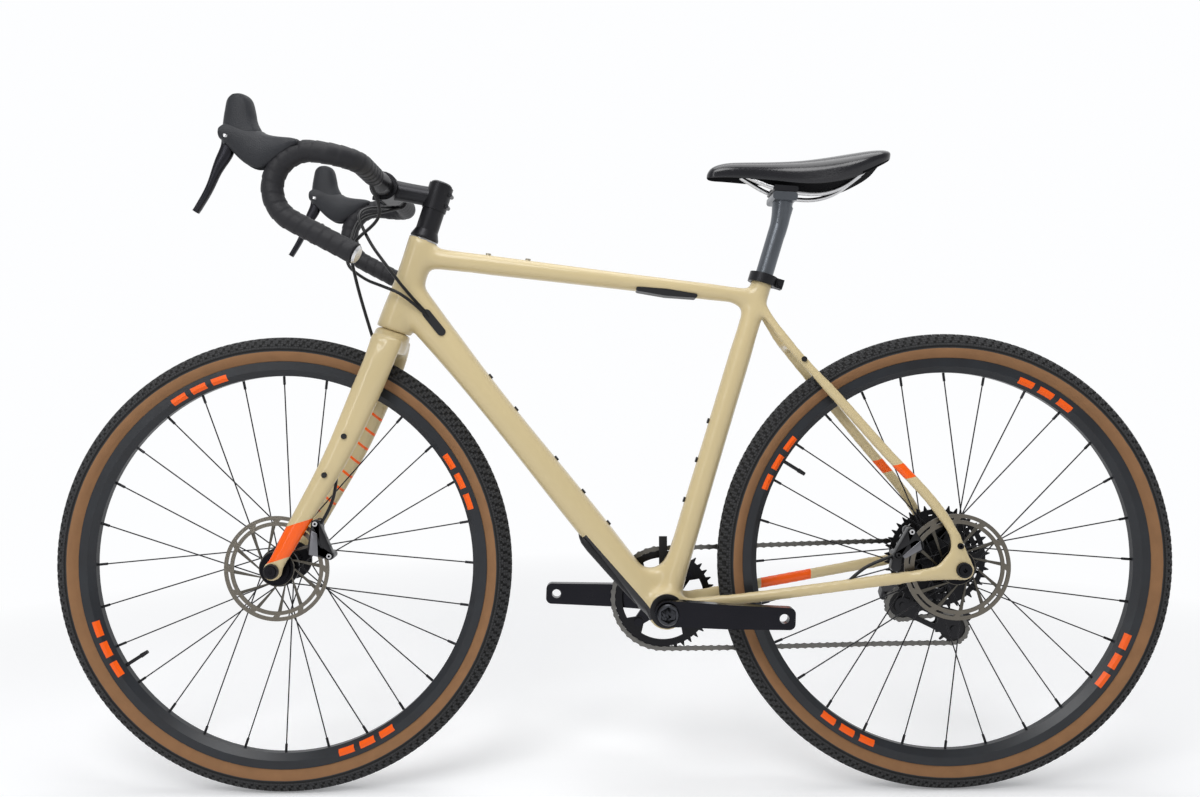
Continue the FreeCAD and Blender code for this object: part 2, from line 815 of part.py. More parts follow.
def seat_clamp():
    low = seat(S.seat_tube_length - S.clamp_height)
    inner = S.seat_tube_top_radius + 2 * S.fit_gap
    collar = ring_solid(inner + S.clamp_thickness, inner, S.clamp_height, low, seat_up)
    ears = Part.makeBox(
        S.clamp_ear_length + S.clamp_thickness, S.clamp_ear_width, S.clamp_height,
        Vector(-inner - S.clamp_thickness - S.clamp_ear_length, -S.clamp_ear_width / 2, 0))
    over = S.cut_overrun
    gap = Part.makeBox(
        2.5 * inner, S.seatpost_slit_width, S.clamp_height + 2 * over,
        Vector(-3 * inner, -S.seatpost_slit_width / 2, -over))
    place = Placement(low, Rotation(Y, S.seat_angle - 90))
    ears.Placement = place
    gap.Placement = place
    middle = low + seat_up * (S.clamp_height / 2)
    bolt_centre = middle - seat_fore * (inner + S.clamp_thickness + S.clamp_ear_length / 2)
    half = S.clamp_ear_width / 2
    bore = Part.makeCylinder(S.clamp_bolt_radius + S.seat_gap, S.clamp_ear_width, bolt_centre - Y * half, Y)
    bolt = Part.makeCylinder(S.clamp_bolt_radius, S.clamp_ear_width, bolt_centre - Y * half, Y)
    head = Part.makeCylinder(S.clamp_head_radius, S.clamp_head_radius, bolt_centre + Y * half, Y)
    seat_bore = Part.makeCylinder(inner, S.clamp_height + 2 * over, low - seat_up * over, seat_up)
    return collar.fuse(ears).cut([gap, bore, seat_bore]), bolt.fuse(head)


collar_solid, collar_bolt = seat_clamp()
collar_pieces = [feature("seat_collar", collar_solid), feature("seat_bolt", collar_bolt)]
keep(cluster("seat_clamp", collar_pieces), "seat_clamp")

cups = []
for side in (1, -1):
    corners = [
        ("spindle_radius + fit_gap", "0"), ("bracket_cup_radius", "0"),
        ("bracket_cup_radius", "bracket_cup_depth"),
        ("bracket_cup_lip_radius", "bracket_cup_depth"),
        ("bracket_cup_lip_radius", "bracket_cup_depth + bracket_cup_lip"),
        ("spindle_radius + fit_gap", "bracket_cup_depth + bracket_cup_lip"),
    ]
    start = shell + Y * (side * (S.shell_width / 2 - S.bracket_cup_depth))
    cups.append(turned_body("bracket_cup", corners, Placement(start, Rotation(Z, Y * side))))
keep(cluster("bottom_bracket_cups", cups), "bottom_bracket_cups")


# Fork

blade_shares = (
    (0, 0, 0.5, 0), (0.086, 0.48, 0.7, 0.12), (0.28, 0.85, 0.79, 0.24), (0.473, 1, 0.84, 0.44),
    (0.667, 0.7, 0.88, 0.68), (0.88, 0.2, 0.96, 0.88), (1, 0, 1, 1),
)


def fork_shape():
    crown_shares = ((0, 0), (0.35, 0.55), (0.7, 0.9), (1, 1))
    crown = []
    for share, widen in crown_shares:
        width = blend(2 * S.crown_radius, 2 * S.crown_half_width, widen)
        depth = blend(2 * S.crown_radius, S.crown_depth, widen)
        crown.append((steer(S.fork_length - S.crown_height * share), width, depth))
    blade = []
    for share, bow_share, spread_share, slim in blade_shares:
        point = blend(steer(S.blade_start), front_axle, share) - X * (S.blade_bow * bow_share)
        point += Y * (S.blade_spread * spread_share)
        width = blend(S.blade_top_width, S.blade_tip_width, slim)
        blade.append((point, width, blend(S.blade_top_depth, S.blade_tip_depth, slim)))
    left_blade = lofted_tube(blade, 2.2)
    tip_start = front_axle + Y * (S.front_hub_width / 2)
    left_tip = Part.makeCylinder(S.fork_tip_radius, S.fork_tip_thickness, tip_start, Y)
    steerer_start = S.fork_length - S.crown_height / 2
    steerer = Part.makeCylinder(
        S.steerer_radius, stem_top - steerer_start - S.cut_overrun, steer(steerer_start), steer_up)
    legs = [left_blade, mirrored(left_blade), left_tip, mirrored(left_tip)]
    body = lofted_tube(crown, 2.2).fuse(legs + [steerer])
    half = S.front_hub_width / 2
    wheel_room = Part.makeCylinder(S.fork_tip_radius + S.cut_overrun, 2 * half, front_axle - Y * half, Y)
    reach = half + 2 * S.fork_tip_thickness
    axle_bore = Part.makeCylinder(S.thru_axle_radius + S.seat_gap, 2 * reach, front_axle - Y * reach, Y)
    tip_face = front_axle + Y * (half + S.fork_tip_thickness)
    head_room = Part.makeCylinder(S.fork_tip_radius, S.fork_tip_thickness, tip_face, Y)
    return body.cut([wheel_room, axle_bore, head_room, mirrored(head_room)])


fork_solid = fork_shape()
keep(feature("fork", fork_solid), "fork")


def thru_axle(label, axle, half):
    """Axle through both dropouts, with its head on the left."""
    length = "2 * (%s)" % half
    corners = [
        ("0", "0"), ("thru_axle_radius", "0"), ("thru_axle_radius", length), ("axle_head_radius", length),
        ("axle_head_radius", length + " + axle_head_length"), ("0", length + " + axle_head_length"),
    ]
    return keep(turned_body(label, corners, Placement(axle - Y * value(half), LEFTWARD)), label)


thru_axle("front_thru_axle", front_axle, "front_hub_width / 2 + fork_tip_thickness")
thru_axle("rear_thru_axle", rear_axle, "rear_hub_width / 2 + dropout_thickness")


# Wheels

def tyre(label, axle):
    """Casing with a round tread, whose beads sit inside the rim flanges."""
    neck = S.tyre_neck_radius
    bead = S.tyre_bead_radius
    corners = [
        Vector(neck, S.tyre_neck_half, 0), Vector(neck, S.tyre_bead_half, 0),
        Vector(bead, S.tyre_bead_half, 0),
        Vector(bead, S.tyre_bead_inner_half, 0), Vector(neck, S.tyre_neck_inner_half, 0),
    ]
    others = [Vector(corner.x, -corner.y, 0) for corner in corners]
    edges = [
        Part.Arc(others[0], X * S.tyre_radius, corners[0]),
        Part.Arc(others[4], X * (S.tyre_radius - S.tyre_casing), corners[4]),
    ]
    for side in (corners, others):
        edges += [Part.LineSegment(first, second) for first, second in zip(side, side[1:])]
    return keep(traced_turn(label, edges, Placement(axle, LEFTWARD)), label)


def rim(label, axle):
    half = [
        ("rim_radius", "rim_half_width"), ("rim_wall_radius", "rim_half_width"),
        ("rim_nose_radius", "rim_nose_half"),
    ]
    lip = "rim_half_width - rim_flange"
    bed = [
        ("rim_well_radius", "rim_well_half"), ("rim_bed_radius", "rim_well_half * 2"),
        ("rim_bed_radius", lip),
        ("rim_radius", lip),
    ]
    right = [(across, "-(%s)" % up) for across, up in reversed(half)]
    right_bed = [(across, "-(%s)" % up) for across, up in reversed(bed)]
    return keep(turned_body(label, half + right + right_bed + bed, Placement(axle, LEFTWARD)), label)


def hub_profile(right_end, right_flange, left_flange, rotor_offset, left_end):
    """Hub shell from its right end cap to its left one, with a seat for the rotor."""
    thick = "hub_flange_thickness / 2"
    bore = "thru_axle_radius + fit_gap"
    seat_end = "%s + rotor_thickness / 2" % rotor_offset
    return [
        (bore, "-(%s)" % right_end), ("hub_end_radius", "-(%s)" % right_end),
        ("hub_end_radius", "-%s - hub_flange_thickness" % right_flange),
        ("hub_shell_radius", "-%s - %s" % (right_flange, thick)),
        ("flange_radius", "-%s - %s" % (right_flange, thick)),
        ("flange_radius", "-%s + %s" % (right_flange, thick)),
        ("hub_shell_radius", "-%s + %s" % (right_flange, thick)),
        ("hub_shell_radius", "%s - %s" % (left_flange, thick)),
        ("flange_radius", "%s - %s" % (left_flange, thick)),
        ("flange_radius", "%s + %s" % (left_flange, thick)),
        ("hub_neck_radius", "%s + %s" % (left_flange, thick)), ("hub_neck_radius", seat_end),
        ("hub_end_radius", seat_end), ("hub_end_radius", left_end), (bore, left_end),
    ]


def spoke_ends(left_flange, right_flange):
    """Hub and rim ends of each spoke in the wheel's own frame, whose Z is the axle."""
    per_side = int(S.spoke_count / 2)
    step = 360 / per_side
    ends = []
    for side, flange in ((1, left_flange), (-1, right_flange)):
        for number in range(per_side):
            lean = 1 if number % 2 == 0 else -1
            hub_angle = step * number + (step / 2 if side == 1 else 0)
            rim_angle = hub_angle + lean * step * S.spoke_cross_steps / 2
            seat_offset = S.hub_flange_thickness / 2 + S.spoke_radius + S.seat_gap
            hub_end = polar(Z * (side * (flange + lean * seat_offset)), S.flange_hole_radius, hub_angle)
            rim_reach = S.rim_nose_radius - S.nipple_radius / 4
            rim_end = polar(Z * (side * S.rim_nose_half / 2), rim_reach, rim_angle)
            ends.append((hub_end, rim_end))
    return ends


def spokes(label, axle, left_flange, right_flange):
    """Spokes with their nipples, which seat against the nose of the rim."""
    solids = []
    over = S.seat_gap
    flanges = [
        Part.makeCylinder(S.flange_radius + over, S.hub_flange_thickness + 2 * over,
                          Z * (place - S.hub_flange_thickness / 2 - over), Z)
        for place in (left_flange, -right_flange)
    ]
    for hub_end, rim_end in spoke_ends(left_flange, right_flange):
        run = rim_end - hub_end
        along = Vector(run).normalize()
        wire = Part.makeCylinder(S.spoke_radius, run.Length, hub_end, along)
        nipple = Part.makeCylinder(S.nipple_radius, S.nipple_length, rim_end - along * S.nipple_length, along)
        solids.append(wire.fuse(nipple).cut(flanges))
    item = feature(label, Part.makeCompound(solids))
    item.Placement = Placement(axle, LEFTWARD)
    return keep(item, label)


def sector(inner, outer, start, end, lean):
    """Outline between two circles, whose outer end is turned ahead of its inner end."""
    corners = [polar(ORIGIN, inner, start), polar(ORIGIN, inner, end)]
    corners += [polar(ORIGIN, outer, end + lean), polar(ORIGIN, outer, start + lean)]
    return [
        Part.Arc(corners[0], polar(ORIGIN, inner, (start + end) / 2), corners[1]),
        Part.LineSegment(corners[1], corners[2]),
        Part.Arc(corners[2], polar(ORIGIN, outer, (start + end) / 2 + lean), corners[3]),
        Part.LineSegment(corners[3], corners[0]),
    ]


def rotor(label, axle, offset):
    """Brake disc: a slotted track on swept arms, with the lockring that holds it."""
    track = S.rotor_radius - S.rotor_track_width
    step = 360 / S.rotor_window_count
    edges = [ring_edge(0, 0, S.rotor_radius), ring_edge(0, 0, S.hub_neck_radius + S.seat_gap)]
    slot_middle = (S.rotor_radius + track) / 2
    for number in range(int(S.rotor_window_count)):
        edges += sector(S.rotor_carrier_radius, track, step * (number + 0.12), step * (number + 0.96), 25)
        edges += sector(
            slot_middle - S.rotor_slot_width / 2, slot_middle + S.rotor_slot_width / 2,
            step * (number + 0.1), step * (number + 0.85), 2)
    disc = padded_body(label + "_disc", edges, "rotor_thickness", side_place(axle + Y * offset), True)
    corners = [
        ("hub_end_radius + fit_gap", "0"), ("rotor_lockring_radius", "0"),
        ("rotor_lockring_radius", "rotor_lockring_height"),
        ("hub_end_radius + fit_gap", "rotor_lockring_height"),
    ]
    seat_face = axle + Y * (offset + S.rotor_thickness / 2)
    lockring = turned_body(label + "_lockring", corners, Placement(seat_face, LEFTWARD))
    return keep(cluster(label, [disc, lockring]), label)


def valve(label, axle, degrees):
    corners = [
        ("0", "0"), ("valve_radius", "0"), ("valve_radius", "valve_length - valve_cap_length"),
        ("valve_cap_radius", "valve_length - valve_cap_length"), ("valve_radius", "valve_length"),
        ("0", "valve_length"),
    ]
    outward = SIDE.multVec(direction(degrees))
    foot = axle + outward * (S.rim_nose_radius - S.fit_gap)
    return keep(turned_body(label, corners, Placement(foot, Rotation(Z, outward * -1))), label)


tyre("front_tyre", front_axle)
rim("front_rim", front_axle)
spokes("front_spokes", front_axle, S.front_left_flange, S.front_right_flange)
front_end = "front_hub_width / 2 - hub_end_gap"
front_hub = hub_profile(front_end, "front_right_flange", "front_left_flange", "rotor_front_offset", front_end)
keep(turned_body("front_hub", front_hub, Placement(front_axle, LEFTWARD)), "front_hub")
rotor("front_rotor", front_axle, S.rotor_front_offset)
valve("front_valve", front_axle, -2.5 * 360 / S.spoke_count)

tyre("rear_tyre", rear_axle)
rim("rear_rim", rear_axle)
spokes("rear_spokes", rear_axle, S.rear_left_flange, S.rear_right_flange)
rear_end = "rear_hub_width / 2 - hub_end_gap"
freehub_start = "rear_right_flange + hub_flange_thickness * 2"
rear_hub = hub_profile(freehub_start, "rear_right_flange", "rear_left_flange", "rotor_rear_offset", rear_end)
keep(turned_body("rear_hub", rear_hub, Placement(rear_axle, LEFTWARD)), "rear_hub")
rotor("rear_rotor", rear_axle, S.rotor_rear_offset)
valve("rear_valve", rear_axle, 2.5 * 360 / S.spoke_count)


# Toothed wheels and the path of the chain

COG_TEETH = (11, 13, 15, 17, 19, 21, 24, 27, 31, 35, 40)


def pitch_radius(teeth):
    return S.chain_pitch / (2 * math.sin(math.pi / teeth))


def teeth_outline(teeth, phase):
    """Closed outline of a toothed wheel with one gap centred at the phase angle."""
    radius = pitch_radius(teeth)
    corners = []
    for number in range(teeth):
        out = direction(phase + 360 * number / teeth)
        across = Vector(-out.y, out.x, 0)
        root = out * (radius - S.tooth_root_depth)
        tip = out * (radius + S.tooth_height)
        corners.append(tip - across * S.tooth_tip_half_gap)
        corners.append(root - across * S.tooth_root_half_gap)
        corners.append(root + across * S.tooth_root_half_gap)
        corners.append(tip + across * S.tooth_tip_half_gap)
    return [Part.LineSegment(corners[index - 1], corner) for index, corner in enumerate(corners)]


def plane(point):
    """Side-plane coordinates of a point as a flat vector."""
    return Vector(point.x, point.z, 0)


ring_wheel = (plane(shell), pitch_radius(S.chainring_teeth), -1)
cog_wheel = (plane(rear_axle), pitch_radius(COG_TEETH[0]), -1)
guide_centre = plane(rear_axle) + Vector(S.guide_lead, -S.guide_drop, 0)
pulley_radius = pitch_radius(S.pulley_teeth)


def chain_wheels(cage_angle):
    guide = (guide_centre, pulley_radius, 1)
    tension = (polar(guide_centre, S.cage_length, cage_angle), pulley_radius, -1)
    return [(ring_wheel, S.chainring_teeth), (tension, S.pulley_teeth), (guide, S.pulley_teeth),
            (cog_wheel, COG_TEETH[0])]


def chain_stretches(cage_angle):
    """Wraps and straight runs of the chain, in order, each with its length along the pitch line."""
    wheels = chain_wheels(cage_angle)
    runs = [tangent(wheel[0], wheels[(index + 1) % 4][0]) for index, wheel in enumerate(wheels)]
    stretches = []
    for index, (wheel, teeth) in enumerate(wheels):
        arrival = runs[index - 1][1]
        sweep = arc_between(wheel[0], wheel[1], arrival, runs[index][0], wheel[2])[1]
        stretches.append(("wrap", wheel, arrival, sweep / 360 * teeth * S.chain_pitch, index))
        run_start, run_end = runs[index]
        stretches.append(("run", run_start, run_end, (run_end - run_start).Length, index))
    return stretches


def chain_length(cage_angle):
    return sum(stretch[3] for stretch in chain_stretches(cage_angle)) / S.chain_pitch


def settle_cage():
    """Cage angle near its photographed one at which the chain closes on an even count of links."""
    links = 2 * round(chain_length(S.cage_angle) / 2)
    trials = [S.cage_angle + (step - 300) / 10 for step in range(601)]
    for first, second in zip(trials, trials[1:]):
        low = chain_length(first) - links
        high = chain_length(second) - links
        if low * high <= 0 and low != high:
            return links, first + (second - first) * low / (low - high)
    return links, S.cage_angle


link_count, cage_angle = settle_cage()
tension_centre = polar(guide_centre, S.cage_length, cage_angle)


def eased(share):
    return share * share * (3 - 2 * share)


def side_step(start, end, distance, length):
    """Sideways place along a run: level near both wheels and eased between them."""
    share = (distance - S.chain_settle_length) / (length - 2 * S.chain_settle_length)
    return blend(start, end, eased(min(max(share, 0), 1)))


def rollers():
    """Centre of each roller, and the angle of the first roller on each toothed wheel."""
    stretches = chain_stretches(cage_angle)
    ring_side = -S.chainring_offset
    cog_side = -S.smallest_cog_offset
    run_sides = ((ring_side, cog_side), (cog_side, cog_side), (cog_side, cog_side), (cog_side, ring_side))
    wrap_sides = (ring_side, cog_side, cog_side, cog_side)
    places = []
    phases = {}
    passed = 0
    current = 0
    for number in range(link_count):
        distance = number * S.chain_pitch
        while distance - passed > stretches[current][3] and current < len(stretches) - 1:
            passed += stretches[current][3]
            current += 1
        kind, first, second, length, index = stretches[current]
        share = (distance - passed) / length
        if kind == "run":
            flat = blend(first, second, share)
            lateral = side_step(run_sides[index][0], run_sides[index][1], distance - passed, length)
        else:
            teeth = chain_wheels(cage_angle)[index][1]
            turn = first[2] * 360 * (distance - passed) / (teeth * S.chain_pitch)
            angle = heading(second - first[0]) + turn
            phases.setdefault(index, angle)
            flat = polar(first[0], first[1], angle)
            lateral = wrap_sides[index]
        places.append(Vector(flat.x, lateral, flat.y))
    return places, phases


roller_places, tooth_phases = rollers()
print("chain links", link_count, "cage angle", round(cage_angle, 2))


def plate_outline(height):
    """Chain plate with cut corners, drawn along X."""
    reach = S.chain_pitch / 2 + S.chain_plate_radius
    shoulder = reach - S.chain_plate_radius * 0.6
    flat = S.chain_plate_radius * 0.4
    corners = [
        (reach, -flat), (reach, flat), (shoulder, S.chain_plate_radius), (-shoulder, S.chain_plate_radius),
        (-reach, flat), (-reach, -flat), (-shoulder, -S.chain_plate_radius),
        (shoulder, -S.chain_plate_radius),
    ]
    return Part.Face(Part.makePolygon([Vector(x, height, z) for x, z in corners + corners[:1]]))


def chain_shape():
    """Links in turn: inner plates joined by their rollers, then a pair of outer plates."""
    inner_face = S.roller_half_width
    outer_face = inner_face + S.inner_plate_thickness + S.fit_gap
    inner_plates = [
        plate_outline(inner_face).extrude(Y * S.inner_plate_thickness),
        plate_outline(-inner_face).extrude(Y * -S.inner_plate_thickness),
    ]
    outer_plates = [
        plate_outline(outer_face).extrude(Y * S.outer_plate_thickness),
        plate_outline(-outer_face).extrude(Y * -S.outer_plate_thickness),
    ]
    roller_corners = [SIDE.multVec(polar(ORIGIN, S.roller_radius, 60 * step)) for step in range(7)]
    inner_link = inner_plates[0]
    for end in (1, -1):
        middle = X * (end * S.chain_pitch / 2) - Y * inner_face
        face = Part.Face(Part.makePolygon([corner + middle for corner in roller_corners]))
        inner_link = inner_link.fuse(face.extrude(Y * (2 * inner_face)))
    inner_link = inner_link.fuse(inner_plates[1]).removeSplitter()
    outer_link = Part.makeCompound(outer_plates)
    links = []
    for number, place in enumerate(roller_places):
        after = roller_places[(number + 1) % link_count]
        along = (after - place).normalize()
        across = (Y - along * along.dot(Y)).normalize()
        link = (inner_link if number % 2 == 0 else outer_link).copy()
        link.Placement = Placement((place + after) / 2, Rotation(along, across, along.cross(across), "ZXY"))
        links += link.Solids
    return Part.makeCompound(links)


keep(feature("chain", chain_shape()), "chain")


def toothed_solid(teeth, phase, thickness, bore, windows):
    """Toothed plate in its own XY plane, centred on its thickness, with any lightening windows."""
    wires = [Part.Wire([edge.toShape() for edge in teeth_outline(teeth, phase)])]
    wires.append(Part.Wire(ring_edge(0, 0, bore).toShape()))
    wires += [Part.Wire([edge.toShape() for edge in window]) for window in windows]
    face = Part.Face(wires, "Part::FaceMakerBullseye")
    return face.extrude(Z * thickness).translated(Z * (-thickness / 2))


def cassette_shape():
    cogs = []
    carrier = S.cog_spacer_radius
    for number, teeth in enumerate(COG_TEETH):
        rim_reach = pitch_radius(teeth) - 3 * S.tooth_root_depth
        windows = []
        if rim_reach > 1.6 * carrier:
            windows = [
                sector(carrier + S.cog_pitch, rim_reach, 60 * arm + 8, 60 * arm + 46, 6) for arm in range(6)
            ]
        phase = tooth_phases[3] if number == 0 else 0
        cog = toothed_solid(teeth, phase, S.cog_thickness, S.freehub_radius + S.seat_gap, windows)
        if number < len(COG_TEETH) - 1:
            spacing = S.cog_pitch - S.cog_thickness - S.seat_gap
            start = Z * (-spacing - S.cog_thickness / 2)
            cog = cog.fuse(ring_solid(carrier, S.freehub_radius + S.seat_gap, spacing, start, Z))
        cog.Placement = side_place(rear_axle - Y * (S.smallest_cog_offset - S.cog_pitch * number))
        cogs.append(cog)
    return Part.makeCompound(cogs)


keep(feature("cassette", cassette_shape()), "cassette")
free_end = "smallest_cog_offset + cog_thickness / 2"
freehub = [
    ("thru_axle_radius + fit_gap", "-(rear_hub_width / 2 - hub_end_gap)"),
    ("hub_end_radius", "-(rear_hub_width / 2 - hub_end_gap)"),
    ("hub_end_radius", "-(%s) - lockring_height" % free_end),
    ("lockring_radius", "-(%s) - lockring_height" % free_end),
    ("lockring_radius", "-(%s)" % free_end), ("freehub_radius", "-(%s)" % free_end),
    ("freehub_radius", "-(%s + hub_end_gap)" % freehub_start),
    ("thru_axle_radius + fit_gap", "-(%s + hub_end_gap)" % freehub_start),
]
keep(turned_body("freehub_body", freehub, Placement(rear_axle, LEFTWARD)), "freehub_body")


# Crankset

def arm_prism():
    """Arm outline along X from the spindle, trimmed to the arm's bend away from the frame."""
    far = S.crank_length + S.crank_end_margin - S.crank_corner_radius
    corner_height = S.crank_end_height / 2 - S.crank_corner_radius
    circles = [
        (0, 0, S.crank_boss_radius), (far, -corner_height, S.crank_corner_radius),
        (far, corner_height, S.crank_corner_radius),
    ]
    outline = Part.Face(Part.Wire([edge.toShape() for edge in belt(circles)]))
    prism = outline.extrude(Z * S.crank_tip_outer)
    near = -2 * S.crank_boss_radius
    end = S.crank_length + 2 * S.crank_end_margin
    corners = [
        (near, S.crank_boss_inner), (S.crank_boss_radius, S.crank_boss_inner),
        (S.crank_length / 2, S.crank_tip_inner), (end, S.crank_tip_inner), (end, S.crank_tip_outer),
        (S.crank_length / 2, S.crank_tip_outer), (S.crank_boss_radius, S.crank_boss_outer),
        (near, S.crank_boss_outer),
    ]
    depth = 2 * S.crank_boss_radius
    slab = Part.Face(Part.makePolygon([Vector(x, -depth, z) for x, z in corners + corners[:1]]))
    pedal_bore = Part.makeCylinder(S.pedal_hole_radius, S.crank_tip_outer, X * S.crank_length, Z)
    return prism.common(slab.extrude(Y * (2 * depth))).cut(pedal_bore)


def crank_turn(side, degrees):
    """Placement of an arm at the bottom bracket: its own X along the arm and its Z to that side."""
    tilt = math.radians(degrees)
    along = Vector(math.cos(tilt), 0, math.sin(tilt))
    outward = Y * side
    return Placement(shell, Rotation(along, outward.cross(along), outward, "ZXY"))


def left_crank():
    bore = Part.makeCylinder(S.spindle_radius + S.seat_gap, S.crank_tip_outer, ORIGIN, Z)
    arm = arm_prism().cut(bore)
    arm.Placement = crank_turn(1, 180 + S.crank_rest_tilt)
    return arm


def right_crank():
    """Driven arm with its spider, and the spindle that is pressed into it."""
    arm = arm_prism()
    spider_face = S.chainring_offset + S.chainring_thickness / 2
    reach = S.chainring_bolt_circle_radius
    pieces = []
    for quarter in range(4):
        angle = 45 + 90 * quarter
        tip = polar(ORIGIN, reach, angle)
        circles = [(0, 0, S.crank_boss_radius), (tip.x, tip.y, S.spider_arm_width / 2)]
        face = Part.Face(Part.Wire([edge.toShape() for edge in belt(circles)]))
        pieces.append(face.extrude(Z * S.spider_thickness).translated(Z * spider_face))
    spindle_length = 2 * S.crank_boss_outer
    spindle = Part.makeCylinder(S.spindle_radius, spindle_length, Z * S.crank_boss_outer, Z * -1)
    socket_radius = S.spindle_radius + S.seat_gap
    socket = Part.makeCylinder(socket_radius, spindle_length, Z * S.crank_boss_outer, Z * -1)
    bolts = [
        Part.makeCylinder(
            S.chainring_bolt_radius + S.seat_gap, S.crank_tip_outer,
            polar(ORIGIN, reach, 45 + 90 * quarter), Z)
        for quarter in range(4)
    ]
    body = Part.makeCompound([arm.fuse(pieces).cut(bolts + [socket]), spindle])
    body.Placement = crank_turn(-1, S.crank_rest_tilt)
    return body


keep(feature("left_crank_arm", left_crank()), "left_crank_arm")
keep(feature("right_crank_arm", right_crank()), "right_crank_arm")


def chainring():
    """Toothed ring with four inward tabs for its bolts."""
    phase = tooth_phases[0]
    ring_inner = pitch_radius(S.chainring_teeth) - S.chainring_rim
    plate = toothed_solid(int(S.chainring_teeth), phase, S.chainring_thickness, ring_inner, [])
    tabs = []
    holes = []
    for quarter in range(4):
        angle = S.crank_rest_tilt + 45 + 90 * quarter
        spot = polar(ORIGIN, S.chainring_bolt_circle_radius, angle)
        edge = polar(ORIGIN, ring_inner + S.chainring_rim / 3, angle)
        circles = [(spot.x, spot.y, S.chainring_tab_radius), (edge.x, edge.y, 2 * S.chainring_tab_radius)]
        face = Part.Face(Part.Wire([side.toShape() for side in belt(circles)]))
        level = Z * (-S.chainring_thickness / 2)
        tabs.append(face.extrude(Z * S.chainring_thickness).translated(level))
        bore_radius = S.chainring_bolt_radius + S.seat_gap
        holes.append(Part.makeCylinder(bore_radius, 2 * S.chainring_thickness, spot + level * 2, Z))
    trim = Part.makeCylinder(ring_inner + S.chainring_rim / 2, S.chainring_thickness, level, Z)
    tab_solid = tabs[0].fuse(tabs[1:]).common(trim)
    body = plate.fuse(tab_solid).cut(holes)
    body.Placement = side_place(shell - Y * S.chainring_offset)
    return body


keep(feature("chainring", chainring()), "chainring")


def chainring_bolts():
    bolts = []
    for quarter in range(4):
        angle = S.crank_rest_tilt + 45 + 90 * quarter
        spot = shell + SIDE.multVec(polar(ORIGIN, S.chainring_bolt_circle_radius, angle))
        inner = spot - Y * (S.chainring_offset - S.chainring_thickness / 2)
        shank = Part.makeCylinder(
            S.chainring_bolt_radius, S.chainring_thickness + S.spider_thickness, inner, Y * -1)
        head = Part.makeCylinder(S.chainring_bolt_head_radius, S.chainring_bolt_head_height, inner, Y)
        bolts.append(shank.fuse(head))
    return Part.makeCompound(bolts)


spindle_cap = turned_body(
    "spindle_cap",
    [
        ("0", "0"), ("spindle_cap_radius", "0"), ("spindle_cap_radius", "spindle_cap_height"),
        ("spindle_cap_radius / 2", "spindle_cap_height"),
        ("spindle_cap_radius / 2", "spindle_cap_height / 2"),
        ("0", "spindle_cap_height / 2"),
    ],
    Placement(shell + Y * S.crank_boss_outer, LEFTWARD))
keep(cluster("crank_bolts", [feature("chainring_bolts", chainring_bolts()), spindle_cap]), "crank_bolts")


# Rear derailleur

guide = Vector(guide_centre.x, -S.smallest_cog_offset, guide_centre.y)
tension = Vector(tension_centre.x, -S.smallest_cog_offset, tension_centre.y)
plate_inner = S.cage_plate_gap
plate_outer = S.cage_plate_gap + S.cage_plate_thickness


def pulley(label, centre, phase):
    edges = teeth_outline(int(S.pulley_teeth), phase) + [ring_edge(0, 0, S.pulley_bore_radius)]
    return keep(padded_body(label, edges, "pulley_thickness", side_place(centre), True), label)


pulley("guide_pulley", guide, tooth_phases[2])
pulley("tension_pulley", tension, tooth_phases[1])


def cage_shape():
    """Two plates that carry both pulleys on their bolts; the outer plate has a tail behind the chain."""
    span = plane(tension) - plane(guide)
    tail = span + direction(150) * S.cage_tail_length
    circles = [
        (0, 0, S.cage_guide_radius), (tail.x, tail.y, S.cage_tail_radius),
        (span.x, span.y, S.cage_tension_radius),
    ]
    narrow = [circles[0], circles[2]]
    window = [
        (span.x * 0.38, span.y * 0.38, S.cage_tail_radius),
        (span.x * 0.62, span.y * 0.62, S.cage_tail_radius),
    ]
    solids = []
    for outline, level in ((circles, -plate_outer), (narrow, plate_inner)):
        wires = [Part.Wire([edge.toShape() for edge in belt(loop)]) for loop in (outline, window)]
        face = Part.Face(wires, "Part::FaceMakerBullseye")
        plate = face.extrude(Z * -S.cage_plate_thickness)
        plate.Placement = side_place(guide + Y * level)
        solids.append(plate)
    bolts = []
    for centre in (guide, tension):
        shank = Part.makeCylinder(
            S.pulley_bore_radius - S.fit_gap, 2 * plate_outer, centre - Y * plate_outer, Y)
        head = Part.makeCylinder(
            S.cage_bolt_head_radius, S.cage_bolt_head_height, centre + Y * plate_outer, Y)
        bolts += [shank, head]
    return solids[0].fuse(solids[1:] + bolts)


keep(feature("derailleur_cage", cage_shape()), "derailleur_cage")

slant = math.radians(S.link_slant)
swing_in = Vector(0, math.cos(slant), -math.sin(slant))
pin_axis = Vector(0, math.sin(slant), math.cos(slant))
rest = math.radians(S.link_rest_angle)
link_run = (X * math.cos(rest) - swing_in * math.sin(rest)) * S.link_length
knuckle_pin = guide + Vector(0, -S.link_outboard, S.link_bar_radius * 2)
mount_pin = knuckle_pin - link_run
pin_step = swing_in * -S.link_spacing
LINK_TURN = Rotation(X, swing_in, pin_axis, "ZXY")


